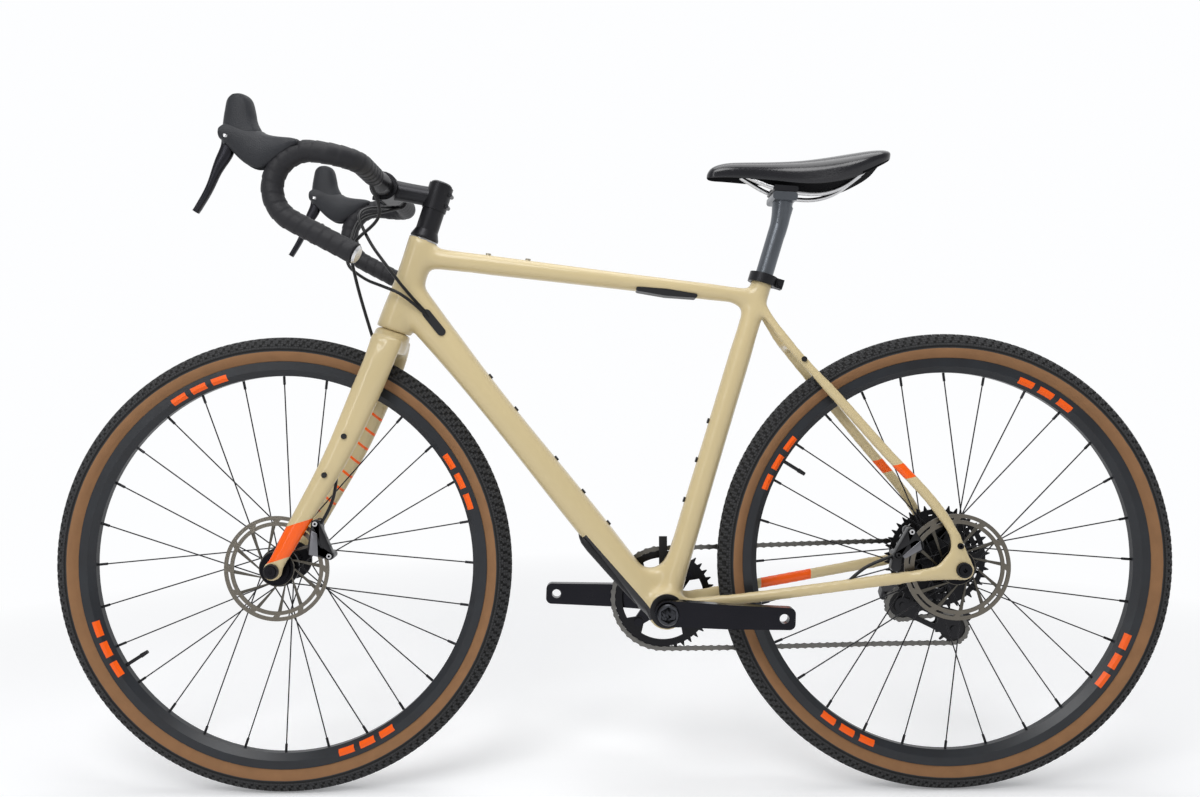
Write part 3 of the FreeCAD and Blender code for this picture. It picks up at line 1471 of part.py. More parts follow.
def link_shape(pin):
    """Bar between two eyes, drawn in the plane that the parallelogram swings in."""
    flat = LINK_TURN.inverted().multVec(link_run)
    eyes = [(0, 0, S.link_bar_radius), (flat.x, flat.y, S.link_bar_radius)]
    wires = [Part.Wire([edge.toShape() for edge in belt(eyes)])]
    for x, y, radius in eyes:
        wires.append(Part.Wire(ring_edge(x, y, S.link_pin_radius + S.fit_gap).toShape()))
    bar = Part.Face(wires, "Part::FaceMakerBullseye").extrude(Z * S.link_thickness)
    bar.Placement = Placement(pin - pin_axis * (S.link_thickness / 2), LINK_TURN)
    return bar


keep(feature("derailleur_inner_link", link_shape(mount_pin)), "derailleur_inner_link")
keep(feature("derailleur_outer_link", link_shape(mount_pin + pin_step)), "derailleur_outer_link")


def yoke(pin, back):
    """Ears above and below both link eyes, their pins, and the web that joins the ears behind the eyes."""
    ear = S.link_bar_radius
    level = S.link_thickness / 2 + S.knuckle_gap
    step = -S.link_spacing
    web = back * 3.4 * S.link_bar_radius
    eyes = [(0, 0, ear), (web, 0, ear), (web, step, ear), (0, step, ear)]
    if back > 0:
        eyes = [eyes[0], eyes[3], eyes[2], eyes[1]]
    outline = Part.Wire([edge.toShape() for edge in belt(eyes)])
    thickness = S.cage_plate_thickness * 2
    top_ear = Part.Face(outline).extrude(Z * thickness).translated(Z * level)
    low_ear = Part.Face(outline).extrude(Z * -thickness).translated(Z * -level)
    web_loop = [(web, step, ear), (web, 0, ear)]
    web_wall = Part.Face(Part.Wire([edge.toShape() for edge in belt(web_loop)])).extrude(Z * (2 * level))
    pins = [
        Part.makeCylinder(S.link_pin_radius, 2 * level, Vector(0, place, -level), Z) for place in (0, step)
    ]
    body = top_ear.fuse([low_ear, web_wall.translated(Z * -level)] + pins)
    body.Placement = Placement(pin, LINK_TURN)
    web_centre = pin + X * web + pin_step / 2
    return body, web_centre


def knuckle():
    """Moving knuckle that carries the cage pivot."""
    body, web_centre = yoke(knuckle_pin, 1)
    face = guide - Y * (plate_outer + S.knuckle_gap)
    drum = Part.makeCylinder(S.knuckle_radius, S.knuckle_radius * 0.66, face, Y * -1)
    arm_start = face - Y * (S.knuckle_radius * 0.42) + X * (S.knuckle_radius / 2)
    size = 2.2 * S.link_bar_radius
    arm = lofted_tube([(blend(arm_start, web_centre, share), size, size) for share in (0, 0.5, 1)])
    return body.fuse([drum, arm])


hanger_bolt = rear_axle + Vector(S.hanger_lead, -S.rear_hub_width / 2, -S.hanger_drop)


def mount_body():
    """Fixed knuckle on the hanger."""
    body, web_centre = yoke(mount_pin, -1)
    face = hanger_bolt - Y * (S.hanger_thickness + S.knuckle_gap)
    boss = Part.makeCylinder(1.2 * S.hanger_radius, 1.4 * S.hanger_radius, face, Y * -1)
    arm_start = face - Y * (0.9 * S.hanger_radius)
    size = 2.4 * S.link_bar_radius
    arm = lofted_tube([(blend(arm_start, web_centre, share), size, size) for share in (0, 0.5, 1)])
    pin = Part.makeCylinder(S.hanger_radius / 2 - S.seat_gap, S.hanger_thickness, face, Y)
    return body.fuse([boss, arm, pin])


keep(feature("derailleur_knuckle", knuckle()), "derailleur_knuckle")
keep(feature("derailleur_mount", mount_body()), "derailleur_mount")


def hanger():
    """Tab below the right dropout, bored for the derailleur."""
    circles = [
        (S.hanger_lead / 4, -S.dropout_radius, S.hanger_radius),
        (S.hanger_lead, -S.hanger_drop, S.hanger_radius),
    ]
    wires = [Part.Wire([edge.toShape() for edge in belt(circles)])]
    wires.append(Part.Wire(ring_edge(S.hanger_lead, -S.hanger_drop, S.hanger_radius / 2).toShape()))
    plate = Part.Face(wires, "Part::FaceMakerBullseye").extrude(Z * S.hanger_thickness)
    plate.Placement = side_place(rear_axle - Y * (S.rear_hub_width / 2))
    return plate.cut(frame_solid)


keep(feature("derailleur_hanger", hanger()), "derailleur_hanger")


# Disc brakes

front_caliper_shares = ((-0.58, 0.36, 0.8), (-0.68, 0.87, 0.75), (-0.86, 0.72, 0.65), (-1.06, 0.33, 0.7))
rear_caliper_shares = ((0.62, 0.26, 0.75), (1.16, 0.2, 0.75), (1.02, 0.52, 1), (0.68, 0.74, 0.9))


def caliper(label, axle, offset, outline_shares, carrier):
    """Brake body around the rotor's edge with its two pads; it seats on the tube that carries it."""
    circles = [
        (x_share * S.rotor_radius, z_share * S.rotor_radius, size_share * S.caliper_rounding)
        for x_share, z_share, size_share in outline_shares
    ]
    centroid = sum((Vector(x, y, 0) for x, y, radius in circles), ORIGIN) / len(circles)
    circles.sort(key=lambda circle: heading(Vector(circle[0], circle[1], 0) - centroid))
    face = Part.Face(Part.Wire([edge.toShape() for edge in belt(circles)]))
    body = face.extrude(Z * S.caliper_width)
    body.Placement = side_place(axle + Y * (offset + S.caliper_outer))
    slot_face = axle + Y * (offset - S.caliper_slot / 2)
    slot = Part.makeCylinder(S.rotor_radius + S.caliper_slot / 2, S.caliper_slot, slot_face, Y)
    body = body.cut([slot, carrier])
    body = max(body.Solids, key=lambda solid: solid.Volume)
    track = S.rotor_radius - S.rotor_track_width / 2
    pad_centre = axle + SIDE.multVec(Vector(centroid).normalize() * track)
    gap = S.rotor_thickness / 2 + (S.caliper_slot - S.rotor_thickness) / 2 - S.pad_thickness - S.seat_gap
    pads = []
    for side in (1, -1):
        pad_face = pad_centre + Y * (offset + side * gap)
        pads.append(Part.makeCylinder(S.brake_pad_radius, S.pad_thickness, pad_face, Y * side))
    return keep(feature(label, Part.makeCompound([body] + pads)), label)


caliper("front_caliper", front_axle, S.rotor_front_offset, front_caliper_shares, fork_solid)
caliper("rear_caliper", rear_axle, S.rotor_rear_offset, rear_caliper_shares, frame_solid)


# Stem, handlebar and tape

rise = math.radians(S.stem_rise_angle)
stem_fore = Vector(math.cos(rise), 0, math.sin(rise))
stem_middle = steer(stem_low + S.stem_clamp_height / 2)
bar_centre = stem_middle + stem_fore * S.stem_length


def stem_shapes():
    """Stem body and its faceplate, parted across the bar clamp."""
    clamp = Part.makeCylinder(S.stem_clamp_radius, S.stem_clamp_height, steer(stem_low), steer_up)
    beam = lofted_tube([
        (stem_middle, 2 * S.stem_body_radius, 2.1 * S.stem_body_radius),
        (blend(stem_middle, bar_centre, 0.5), 2 * S.stem_body_radius, 2 * S.stem_body_radius),
        (bar_centre, 2.2 * S.stem_body_radius, 2.2 * S.stem_body_radius),
    ])
    half = Y * (S.stem_bar_width / 2)
    barrel = Part.makeCylinder(S.stem_bar_radius, S.stem_bar_width, bar_centre - half, Y)
    over = Y * S.cut_overrun
    bar_bore = Part.makeCylinder(
        S.bar_clamp_radius + S.seat_gap, S.stem_bar_width + 2 * S.cut_overrun, bar_centre - half - over, Y)
    steerer_bore = Part.makeCylinder(
        S.steerer_radius + S.seat_gap, S.stem_clamp_height + 2 * S.cut_overrun,
        steer(stem_low - S.cut_overrun), steer_up)
    pinch = Part.makeBox(
        2 * S.stem_clamp_radius, S.faceplate_gap, S.stem_clamp_height + 2 * S.cut_overrun,
        Vector(-2 * S.stem_clamp_radius, -S.faceplate_gap / 2, -S.cut_overrun))
    pinch.Placement = Placement(steer(stem_low), Rotation(Y, S.head_angle - 90))
    whole = clamp.fuse([beam, barrel]).cut([bar_bore, steerer_bore, pinch])
    front = Part.makeBox(
        3 * S.stem_bar_radius, 2 * S.stem_bar_width, 4 * S.stem_bar_radius,
        Vector(0, -S.stem_bar_width, -2 * S.stem_bar_radius))
    front_half = front.copy()
    front.Placement = Placement(bar_centre, Rotation(Y, -S.stem_rise_angle))
    parting = bar_centre + stem_fore * S.faceplate_gap
    front_half.Placement = Placement(parting, Rotation(Y, -S.stem_rise_angle))
    window = Part.makeBox(
        3 * S.stem_bar_radius, S.stem_bar_width * 0.36, S.stem_bar_radius * 0.7,
        Vector(0, -S.stem_bar_width * 0.18, -S.stem_bar_radius * 0.35))
    window.Placement = front.Placement
    return whole.cut(front), whole.common(front_half).cut(window)


stem_solid, faceplate_solid = stem_shapes()
keep(feature("stem", stem_solid), "stem")
keep(feature("stem_faceplate", faceplate_solid), "stem_faceplate")


def stem_bolts():
    """Four faceplate bolts seen from the front and two pinch bolts behind the steerer."""
    stem_up = Vector(-math.sin(rise), 0, math.cos(rise))
    bolts = []
    for side in (1, -1):
        for level in (1, -1):
            spot = bar_centre + Y * (side * S.stem_bar_width * 0.34)
            spot += stem_up * (level * S.stem_bar_radius * 0.93)
            bolts.append(Part.makeCylinder(S.stem_bolt_radius, S.stem_bolt_length * 1.6, spot, stem_fore))
    for share in (0.27, 0.73):
        spot = steer(stem_low + S.stem_clamp_height * share) - steer_fore * (S.stem_clamp_radius * 0.98)
        bolts.append(Part.makeCylinder(
            S.stem_bolt_radius, S.stem_bolt_length * 2, spot - Y * S.stem_bolt_length, Y))
    group = Part.makeCompound(bolts).cut(stem_solid.fuse(faceplate_solid))
    return Part.makeCompound([solid for solid in group.Solids if solid.Volume > S.stem_bolt_radius ** 3 / 2])


top_cap = turned_body(
    "stem_top_cap",
    [
        ("0", "0"), ("top_cap_radius", "0"), ("top_cap_radius", "top_cap_height / 2"),
        ("top_cap_radius * 0.8", "top_cap_height"), ("stem_bolt_radius", "top_cap_height"),
        ("stem_bolt_radius", "top_cap_height / 2"), ("0", "top_cap_height / 2"),
    ],
    Placement(steer(stem_top), Rotation(Z, steer_up)))
keep(cluster("stem_bolts", [feature("clamp_bolts", stem_bolts()), top_cap]), "stem_bolts")


def bar_path(start):
    """Left half of the bar's centre line from a place on its top to the end of the drop."""
    lift = math.radians(S.bar_tilt)
    ahead = Vector(math.cos(lift), 0, math.sin(lift))
    above = Vector(-math.sin(lift), 0, math.cos(lift))
    bend = S.bar_corner_radius
    hook = S.bar_hook_radius
    corner_start = bar_centre + Y * (S.bar_half_width - bend)
    corner_centre = corner_start + ahead * bend
    corner_middle = corner_centre + (Y - ahead).normalize() * bend
    corner_end = corner_start + Y * bend + ahead * bend
    ramp_end = corner_end + ahead * S.bar_ramp
    hook_centre = ramp_end - above * hook

    def on_hook(degrees):
        angle = math.radians(degrees)
        return hook_centre + (ahead * math.sin(angle) + above * math.cos(angle)) * hook

    turn = math.radians(S.bar_hook_angle)
    hook_end = on_hook(S.bar_hook_angle)
    back = ahead * math.cos(turn) - above * math.sin(turn)
    edges = [
        Part.LineSegment(bar_centre + Y * start, corner_start),
        Part.Arc(corner_start, corner_middle, corner_end),
        Part.LineSegment(corner_end, ramp_end), Part.Arc(ramp_end, on_hook(S.bar_hook_angle / 2), hook_end),
        Part.LineSegment(hook_end, hook_end + back * S.bar_drop_length),
    ]
    return Part.Wire([edge.toShape() for edge in edges]), hook_end + back * S.bar_drop_length, back


def handlebar():
    path, bar_end, back = bar_path(0)
    half = swept(path, S.bar_radius)
    bulge = Part.makeCylinder(S.bar_clamp_radius, S.bar_bulge_half, bar_centre, Y)
    taper = Part.makeCone(
        S.bar_clamp_radius, S.bar_radius, S.bar_taper, bar_centre + Y * S.bar_bulge_half, Y)
    left = half.fuse([bulge, taper])
    return left.fuse(mirrored(left)).removeSplitter()


def tape():
    path, bar_end, back = bar_path(S.tape_start)
    core = swept(bar_path(0)[0], S.bar_radius + S.seat_gap)
    return swept(path, S.tape_radius).cut(core)


handlebar_solid = handlebar()
keep(feature("handlebar", handlebar_solid), "handlebar")
left_tape = tape()
keep(feature("bar_tape", Part.makeCompound([left_tape, mirrored(left_tape)])), "bar_tape")
tape_room = swept(bar_path(S.tape_start)[0], S.tape_radius + S.seat_gap)


def bar_plug():
    path, bar_end, back = bar_path(0)
    return Part.makeCone(S.plug_radius, 0.8 * S.plug_radius, S.plug_length, bar_end, back)


left_plug = bar_plug()
keep(feature("bar_end_plugs", Part.makeCompound([left_plug, mirrored(left_plug)])), "bar_end_plugs")


# Brake levers, whose places are measured from the lever pivot

lever_pivot = bar_centre + Vector(S.lever_pivot_reach, S.bar_half_width, S.lever_pivot_rise)


def from_pivot(along, up):
    """Point in the lever's own plane, as shares of the reach from the bar to the pivot."""
    return lever_pivot + Vector(along, 0, up) * S.lever_pivot_reach


hood_shares = (
    (-0.58, -0.084, 0.05), (-0.52, -0.09, 0.1), (-0.42, -0.116, 0.185), (-0.35, -0.134, 0.25),
    (-0.27, -0.14, 0.3), (-0.19, -0.1, 0.28), (-0.11, -0.045, 0.235), (-0.04, -0.01, 0.19),
    (0.03, -0.005, 0.1),
)
knob_shares = (
    (-0.13, -0.08, 0.3), (-0.122, 0, 0.315), (-0.113, 0.063, 0.275), (-0.111, 0.15, 0.242),
    (-0.11, 0.235, 0.205), (-0.107, 0.272, 0.165), (-0.105, 0.288, 0.11),
)
lever_shares = (
    (0, 0.02, 1), (-0.01, -0.1, 1.15), (0.036, -0.21, 1.05), (0.083, -0.304, 0.5), (0.115, -0.383, 0.25),
    (0.167, -0.488, 0.12), (0.2145, -0.567, 0.05), (0.246, -0.614, 0),
)


def hood():
    """Rubber-covered lever body: a grip on the ramp and a raised horn, slotted for the lever."""
    reach = S.lever_pivot_reach
    grip = lofted_tube(
        [(from_pivot(along, up), S.hood_width, depth * reach) for along, up, depth in hood_shares], 2.4)
    horn = lofted_tube(
        [(from_pivot(along, up), S.hood_knob_width, depth * reach) for along, up, depth in knob_shares], 2.4)
    slot_width = S.lever_width + 2 * S.lever_slot_gap
    low = from_pivot(-0.2, -0.25) - Y * (slot_width / 2)
    slot = Part.makeBox(0.4 * reach, slot_width, 0.33 * reach, low)
    under = Part.makeBox(0.5 * reach, slot_width, 0.3 * reach, from_pivot(-0.32, -0.4) - Y * (slot_width / 2))
    pin_length = S.hood_knob_width * 0.8
    pin = Part.makeCylinder(S.lever_pin_radius, pin_length, lever_pivot - Y * (pin_length / 2), Y)
    body = grip.fuse(horn).cut([slot, under, tape_room]).fuse(pin)
    return max(body.Solids, key=lambda solid: solid.Volume)


def brake_lever():
    """Curved blade on its pivot."""
    stations = [
        (from_pivot(along, up), S.lever_width, blend(S.lever_tip_depth, S.lever_root_depth, size))
        for along, up, size in lever_shares
    ]
    root = Part.makeCylinder(S.lever_root_depth / 2, S.lever_width, lever_pivot - Y * (S.lever_width / 2), Y)
    bore_start = lever_pivot - Y * S.lever_width
    bore = Part.makeCylinder(S.lever_pin_radius + S.fit_gap, 2 * S.lever_width, bore_start, Y)
    return lofted_tube(stations, 2.4).fuse(root).cut(bore)


left_hood = hood()
left_lever = brake_lever()
keep(feature("left_lever_hood", left_hood), "left_lever_hood")
keep(feature("right_lever_hood", mirrored(left_hood)), "right_lever_hood")
keep(feature("left_brake_lever", left_lever), "left_brake_lever")

paddle_pin = from_pivot(-0.065, -0.305)
paddle_low = from_pivot(0, -0.46)


def shift_paddle():
    """Shift blade behind the right lever, hung on a pin that runs fore and aft."""
    eye_radius = S.paddle_width
    pin_flat = Vector(paddle_pin.x, paddle_pin.z, 0)
    low_flat = Vector(paddle_low.x, paddle_low.z, 0)
    corner = S.paddle_end_depth / 4
    circles = [
        (pin_flat.x, pin_flat.y, eye_radius), (low_flat.x - corner, low_flat.y, corner),
        (low_flat.x + corner, low_flat.y, corner),
    ]
    blade = Part.Face(Part.Wire([edge.toShape() for edge in belt(circles)])).extrude(Z * S.paddle_width)
    blade.Placement = side_place(Y * (S.paddle_width / 2 - lever_pivot.y))
    place = Vector(paddle_pin.x - eye_radius, -lever_pivot.y, paddle_pin.z)
    eye = Part.makeCylinder(eye_radius, 2 * eye_radius, place, X)
    bore = Part.makeCylinder(eye_radius / 2 + S.fit_gap, 6 * eye_radius, place - X * eye_radius, X)
    return blade.fuse(eye).cut(bore)


def right_lever():
    """Right blade with the pin that carries the shift paddle."""
    eye_radius = S.paddle_width
    place = Vector(paddle_pin.x - 1.5 * eye_radius, -lever_pivot.y, paddle_pin.z)
    pin = Part.makeCylinder(eye_radius / 2, 0.15 * S.lever_pivot_reach + 1.5 * eye_radius, place, X)
    return mirrored(left_lever).fuse(pin)


keep(feature("right_brake_lever", right_lever()), "right_brake_lever")
keep(feature("shift_paddle", shift_paddle()), "shift_paddle")


# Saddle and seatpost

saddle_shares = (
    (0, 0.09, -1.1, 0.28), (0.04, 0.19, -0.45, 0.5), (0.14, 0.27, 0, 0.72), (0.32, 0.31, 0, 0.8),
    (0.5, 0.46, 0.06, 0.84), (0.66, 0.72, 0.3, 1), (0.82, 0.97, 0.75, 1.15), (0.93, 0.97, 1, 0.95),
    (1, 0.7, 0.8, 0.45),
)


def saddle_station(along, width_share, rise_share, depth_share):
    """Place, width, top and depth of the cushion at a share of its length behind the nose."""
    x = S.saddle_nose - S.saddle_length * along
    top = S.saddle_height + S.saddle_tail_rise * rise_share
    return x, S.saddle_width * width_share, top, S.saddle_depth * depth_share


def crown_wire(x, width, top, depth):
    """Cushion section: a crown arc over sides that draw in to a flat bottom."""
    shoulder = top - 0.35 * depth
    right = [Vector(x, -0.44 * width, top - depth), Vector(x, -0.5 * width, shoulder)]
    left = [Vector(x, 0.44 * width, top - depth), Vector(x, 0.5 * width, shoulder)]
    edges = [
        Part.LineSegment(right[0], right[1]), Part.Arc(right[1], Vector(x, 0, top), left[1]),
        Part.LineSegment(left[1], left[0]), Part.LineSegment(left[0], right[0]),
    ]
    return Part.Wire([edge.toShape() for edge in edges])


def tunnel_wire(x, width, top, depth):
    """Section of the hollow under the cushion: upright sides below a crown."""
    low = top - 2 * depth
    shoulder = top - 0.12 * depth
    sides = ((-1, low), (-1, shoulder), (1, shoulder), (1, low))
    corners = [Vector(x, side * width / 2, level) for side, level in sides]
    edges = [
        Part.LineSegment(corners[0], corners[1]), Part.Arc(corners[1], Vector(x, 0, top), corners[2]),
        Part.LineSegment(corners[2], corners[3]), Part.LineSegment(corners[3], corners[0]),
    ]
    return Part.Wire([edge.toShape() for edge in edges])


def saddle_shapes():
    """Cushion hollowed from below and the shell that lies against its hollow."""
    stations = [saddle_station(*shares) for shares in saddle_shares]
    cushion = Part.makeLoft([crown_wire(*station) for station in stations], True)

    def tunnel(gap):
        return Part.makeLoft([
            tunnel_wire(x, 0.8 * width - 2 * gap, top - S.saddle_padding - gap, depth)
            for x, width, top, depth in stations[2:-1]], True)

    hollow = tunnel(0)
    core = tunnel(S.fit_gap)
    return cushion.cut(hollow), core.cut(core.translated(Z * -S.saddle_shell_thickness))


saddle_cushion, saddle_shell = saddle_shapes()
keep(feature("saddle_cover", saddle_cushion), "saddle_cover")
keep(feature("saddle_shell", saddle_shell), "saddle_shell")

rail_shares = ((0.163, -0.4, 0.2), (0.391, -1.316, 0.5), (0.692, -1.5, 0.5), (0.96, 0, 0.715))


def rail(radius):
    points = []
    for along, up, out in rail_shares:
        level = S.saddle_height + S.saddle_depth * up
        points.append(Vector(S.saddle_nose - S.saddle_length * along, S.rail_spacing * out, level))
    return swept(rounded_route(points)[0], radius)


rail_pieces = rail(S.rail_radius).cut([saddle_shell, saddle_cushion]).Solids
left_rail = max(rail_pieces, key=lambda solid: solid.Volume)
keep(feature("saddle_rails", Part.makeCompound([left_rail, mirrored(left_rail)])), "saddle_rails")


def seatpost_shapes():
    """Post with its lower cradle, and the cap that clamps the rails with two bolts."""
    front, rear = [
        Vector(S.saddle_nose - S.saddle_length * along, 0, S.saddle_height + S.saddle_depth * up)
        for along, up, out in rail_shares[1:3]
    ]
    share = (S.cradle_setback / S.saddle_length - rail_shares[1][0]) / (rail_shares[2][0] - rail_shares[1][0])
    middle = blend(front, rear, share)
    turn = Rotation(X, front - rear)
    half_length = S.cradle_length / 2
    part = S.cradle_parting / 2
    lower = Part.makeBox(
        S.cradle_length, S.cradle_width, S.cradle_height - part,
        Vector(-half_length, -S.cradle_width / 2, -S.cradle_height))
    upper = Part.makeBox(
        S.cradle_length, S.cradle_width, S.cradle_cap_height - part,
        Vector(-half_length, -S.cradle_width / 2, part))
    bolts = []
    for end in (1, -1):
        spot = Vector(end * 0.72 * half_length, 0, part)
        bolt_height = S.cradle_cap_height + S.cradle_bolt_radius
        bolts.append(Part.makeCylinder(2 * S.cradle_bolt_radius, bolt_height, spot, Z))
    for shape in [lower, upper] + bolts:
        shape.Placement = Placement(middle, turn)
    lower_edges = [edge for edge in lower.Edges if abs(edge.tangentAt(0).y) > 0.9]
    upper_edges = [edge for edge in upper.Edges if abs(edge.tangentAt(0).y) > 0.9]
    lower = lower.makeFillet(S.cradle_height / 3, lower_edges)
    upper = upper.makeFillet(S.cradle_cap_height / 3, upper_edges)
    rails = [rail(S.rail_radius + S.seat_gap), mirrored(rail(S.rail_radius + S.seat_gap))]
    top = S.seat_tube_length + S.seatpost_exposed
    tube = Part.makeCylinder(S.seatpost_radius, S.seatpost_length, seat(top - S.seatpost_length), seat_up)
    wide = 2 * S.seatpost_radius
    neck = lofted_tube([
        (seat(top - 2 * wide), 0.98 * wide, 0.98 * wide), (seat(top - wide), 1.02 * wide, 1.04 * wide),
        (middle - Z * (S.cradle_height * 0.8), 1.3 * wide, 1.2 * wide),
    ])
    post = tube.fuse([neck, lower]).cut(rails)
    cap = upper.cut(rails + bolts)
    return post, [cap] + [bolt.cut(post) for bolt in bolts]


seatpost_solid, seatpost_clamp = seatpost_shapes()
keep(feature("seatpost", seatpost_solid), "seatpost")
keep(feature("seatpost_clamp", Part.makeCompound(seatpost_clamp)), "seatpost_clamp")


# Small fittings on the tubes

down_start = steer(head_low + S.down_tube_head_rise)
down_end = shell + X * S.down_tube_shell_offset
down_along = (down_end - down_start).normalize()
down_up = Y.cross(down_along)
top_start = steer(head_top - S.top_tube_head_drop)
top_end = seat(S.seat_tube_length - S.top_tube_seat_drop)
top_up = Y.cross((top_end - top_start).normalize())


def proud_bolt(carrier, inside, axis):
    """Bolt head that stands on the surface of its carrier, on the line from a point inside it."""
    probe = Part.makeLine(inside, inside + axis * S.shell_width)
    reach = max((vertex.Point - inside).dot(axis) for vertex in carrier.common(probe).Edges[0].Vertexes)
    head = Part.makeCylinder(S.boss_bolt_radius, S.boss_bolt_radius + S.boss_bolt_height,
                             inside + axis * (reach - S.boss_bolt_radius), axis)
    return max(head.cut(carrier).Solids, key=lambda solid: solid.Volume)


bolts = [
    proud_bolt(frame_solid, blend(down_start, down_end, share), down_up)
    for share in (0.294, 0.398, 0.558, 0.665, 0.766)
]
for share in (0.309, 0.43, 0.548):
    bolts.append(proud_bolt(frame_solid, seat(S.seat_tube_length * share), seat_fore))
bolts += [proud_bolt(frame_solid, blend(top_start, top_end, share), top_up) for share in (0.203, 0.32)]
stay_points = seat_stay_points()
rack_point = blend(stay_points[1], stay_points[2], 0.34)
bolts.append(proud_bolt(frame_solid, rack_point, Y))
bolts.append(mirrored(bolts[-1]))
keep(feature("frame_bolts", Part.makeCompound(bolts)), "frame_bolts")

blade_bolts = []
for share, bow_share, spread_share in ((0.427, 0.97, 0.82), (0.592, 0.82, 0.86)):
    inside = blend(steer(S.blade_start), front_axle, share) - X * (S.blade_bow * bow_share)
    blade_bolts.append(proud_bolt(fork_solid, inside + Y * (S.blade_spread * spread_share), Y))
blade_bolts += [mirrored(bolt) for bolt in blade_bolts]
keep(feature("fork_bolts", Part.makeCompound(blade_bolts)), "fork_bolts")


def down_tube_guard():
    """Plate under the lower end of the down tube."""
    depth = S.down_tube_depth + 2 * S.guard_thickness
    guard_shares = (0.745, 0.8, 0.87, 0.93)
    stations = [(blend(down_start, down_end, share), S.guard_width, depth) for share in guard_shares]
    pieces = lofted_tube(stations, 2.6).cut(frame_solid).Solids
    under = [piece for piece in pieces if (piece.CenterOfMass - down_start).dot(down_up) < 0]
    return max(under, key=lambda solid: solid.Volume)


keep(feature("down_tube_guard", down_tube_guard()), "down_tube_guard")


def side_fitting(circles, carrier, height):
    """Flat fitting on the left face of a tube, outlined by circles in the side plane."""
    face = Part.Face(Part.Wire([edge.toShape() for edge in belt(circles)]))
    centre = Vector(circles[0][0], 0, circles[0][1])
    probe = Part.makeLine(centre, centre + Y * S.shell_width)
    reach = max(vertex.Y for vertex in carrier.common(probe).Vertexes)
    prism = face.extrude(Z * (reach + height))
    prism.Placement = side_place(Y * (reach + height))
    return max(prism.cut(carrier).Solids, key=lambda solid: solid.Volume)


def port_circle(share):
    point = plane(blend(down_start, down_end, share) + down_up * S.port_rise)
    return point.x, point.y, S.port_radius


def top_tube_pad():
    """Rubber pad wrapped under the rear half of the top tube."""
    pad_shares = ((0.8166, 0.6), (0.7316, 1), (0.65, 0.6), (0.7316, 1))
    circles = []
    for share, size in pad_shares:
        point = plane(blend(top_start, top_end, share) - top_up * S.pad_drop)
        circles.append((point.x, point.y, size * S.pad_radius))
    face = Part.Face(Part.Wire([edge.toShape() for edge in belt(circles)]))
    half = S.top_tube_seat_width / 2 + S.pad_height
    prism = face.extrude(Z * (2 * half))
    prism.Placement = side_place(Y * half)
    return max(prism.cut(frame_solid).Solids, key=lambda solid: solid.Volume)


frame_ports = [
    side_fitting([port_circle(0.0777), port_circle(0.135)], frame_solid, S.port_height), top_tube_pad(),
]
keep(feature("frame_ports", Part.makeCompound(frame_ports)), "frame_ports")


def chain_guide():
    """Plate beside the chainring on a boss that stands on the seat tube."""
    base = shell + Vector(0, -S.guide_plate_offset, S.guide_plate_rise)
    plate = Part.makeBox(
        S.guide_plate_width, S.guide_plate_thickness, S.guide_plate_height,
        base - X * (S.guide_plate_width / 2))
    spot = shell + Vector(-S.guide_boss_radius, 0, S.guide_plate_rise + S.guide_plate_width)
    boss = Part.makeCylinder(S.guide_boss_radius, S.guide_plate_offset - S.fit_gap, spot, Y * -1)
    body = plate.fuse(boss).cut(frame_solid)
    return max(body.Solids, key=lambda solid: solid.Volume)


keep(feature("chain_guide", chain_guide()), "chain_guide")


# Hoses and the shift cable, whose routes are shares of the bar's half width and of the rotor's radius

front_hose_shares = (
    (-0.012, -0.429, -0.069), (0.114, -0.262, -0.14), (0.229, -0.052, -0.214), (0.265, 0.079, -0.387),
    (0.245, 0.183, -0.57), (0.224, 0.199, -0.675), (0.166, 0.173, -0.937), (0.093, 0.12, -1.214),
)
shift_cable_shares = (
    (0.04, -0.429, -0.069), (0.276, 0, -0.12), (0.124, 0.131, -0.44), (-0.043, 0.183, -0.659),
    (-0.2, 0.173, -0.869), (-0.347, 0.126, -1.031),
)
rear_hose_shares = (
    (0.019, 0.429, -0.068), (-0.012, 0.33, -0.172), (-0.012, 0.27, -0.262), (0.055, 0.209, -0.335),
    (0.25, 0.045, -0.424), (0.355, 0, -0.605), (0.16, 0.09, -0.752), (0.009, 0.173, -0.811),
    (-0.2, 0.204, -0.895), (-0.394, 0.115, -1.094),
)
front_lower_shares = (
    (-1.125, 0.55, 2.01), (-1.175, 0.525, 1.825), (-1.075, 0.525, 1.19), (-0.85, 0.54, 0.85),
)
rear_lower_shares = ((2.05, 0.725, -0.25), (1.85, 0.725, -0.06), (1.575, 0.74, 0.1), (1.2, 0.76, 0.24))


def routed(label, shares, start, unit, obstacles):
    """Hose along a route of shares from a starting place, ending where it meets what holds it."""
    points = [start + Vector(along, out, up) * unit for along, out, up in shares]
    pieces = hose(label, points, S.hose_radius).cut(obstacles).Solids
    return max(pieces, key=lambda solid: solid.Volume)


def sub_shape(label):
    return [item for item in sub_parts if item.Label == label][0].Shape


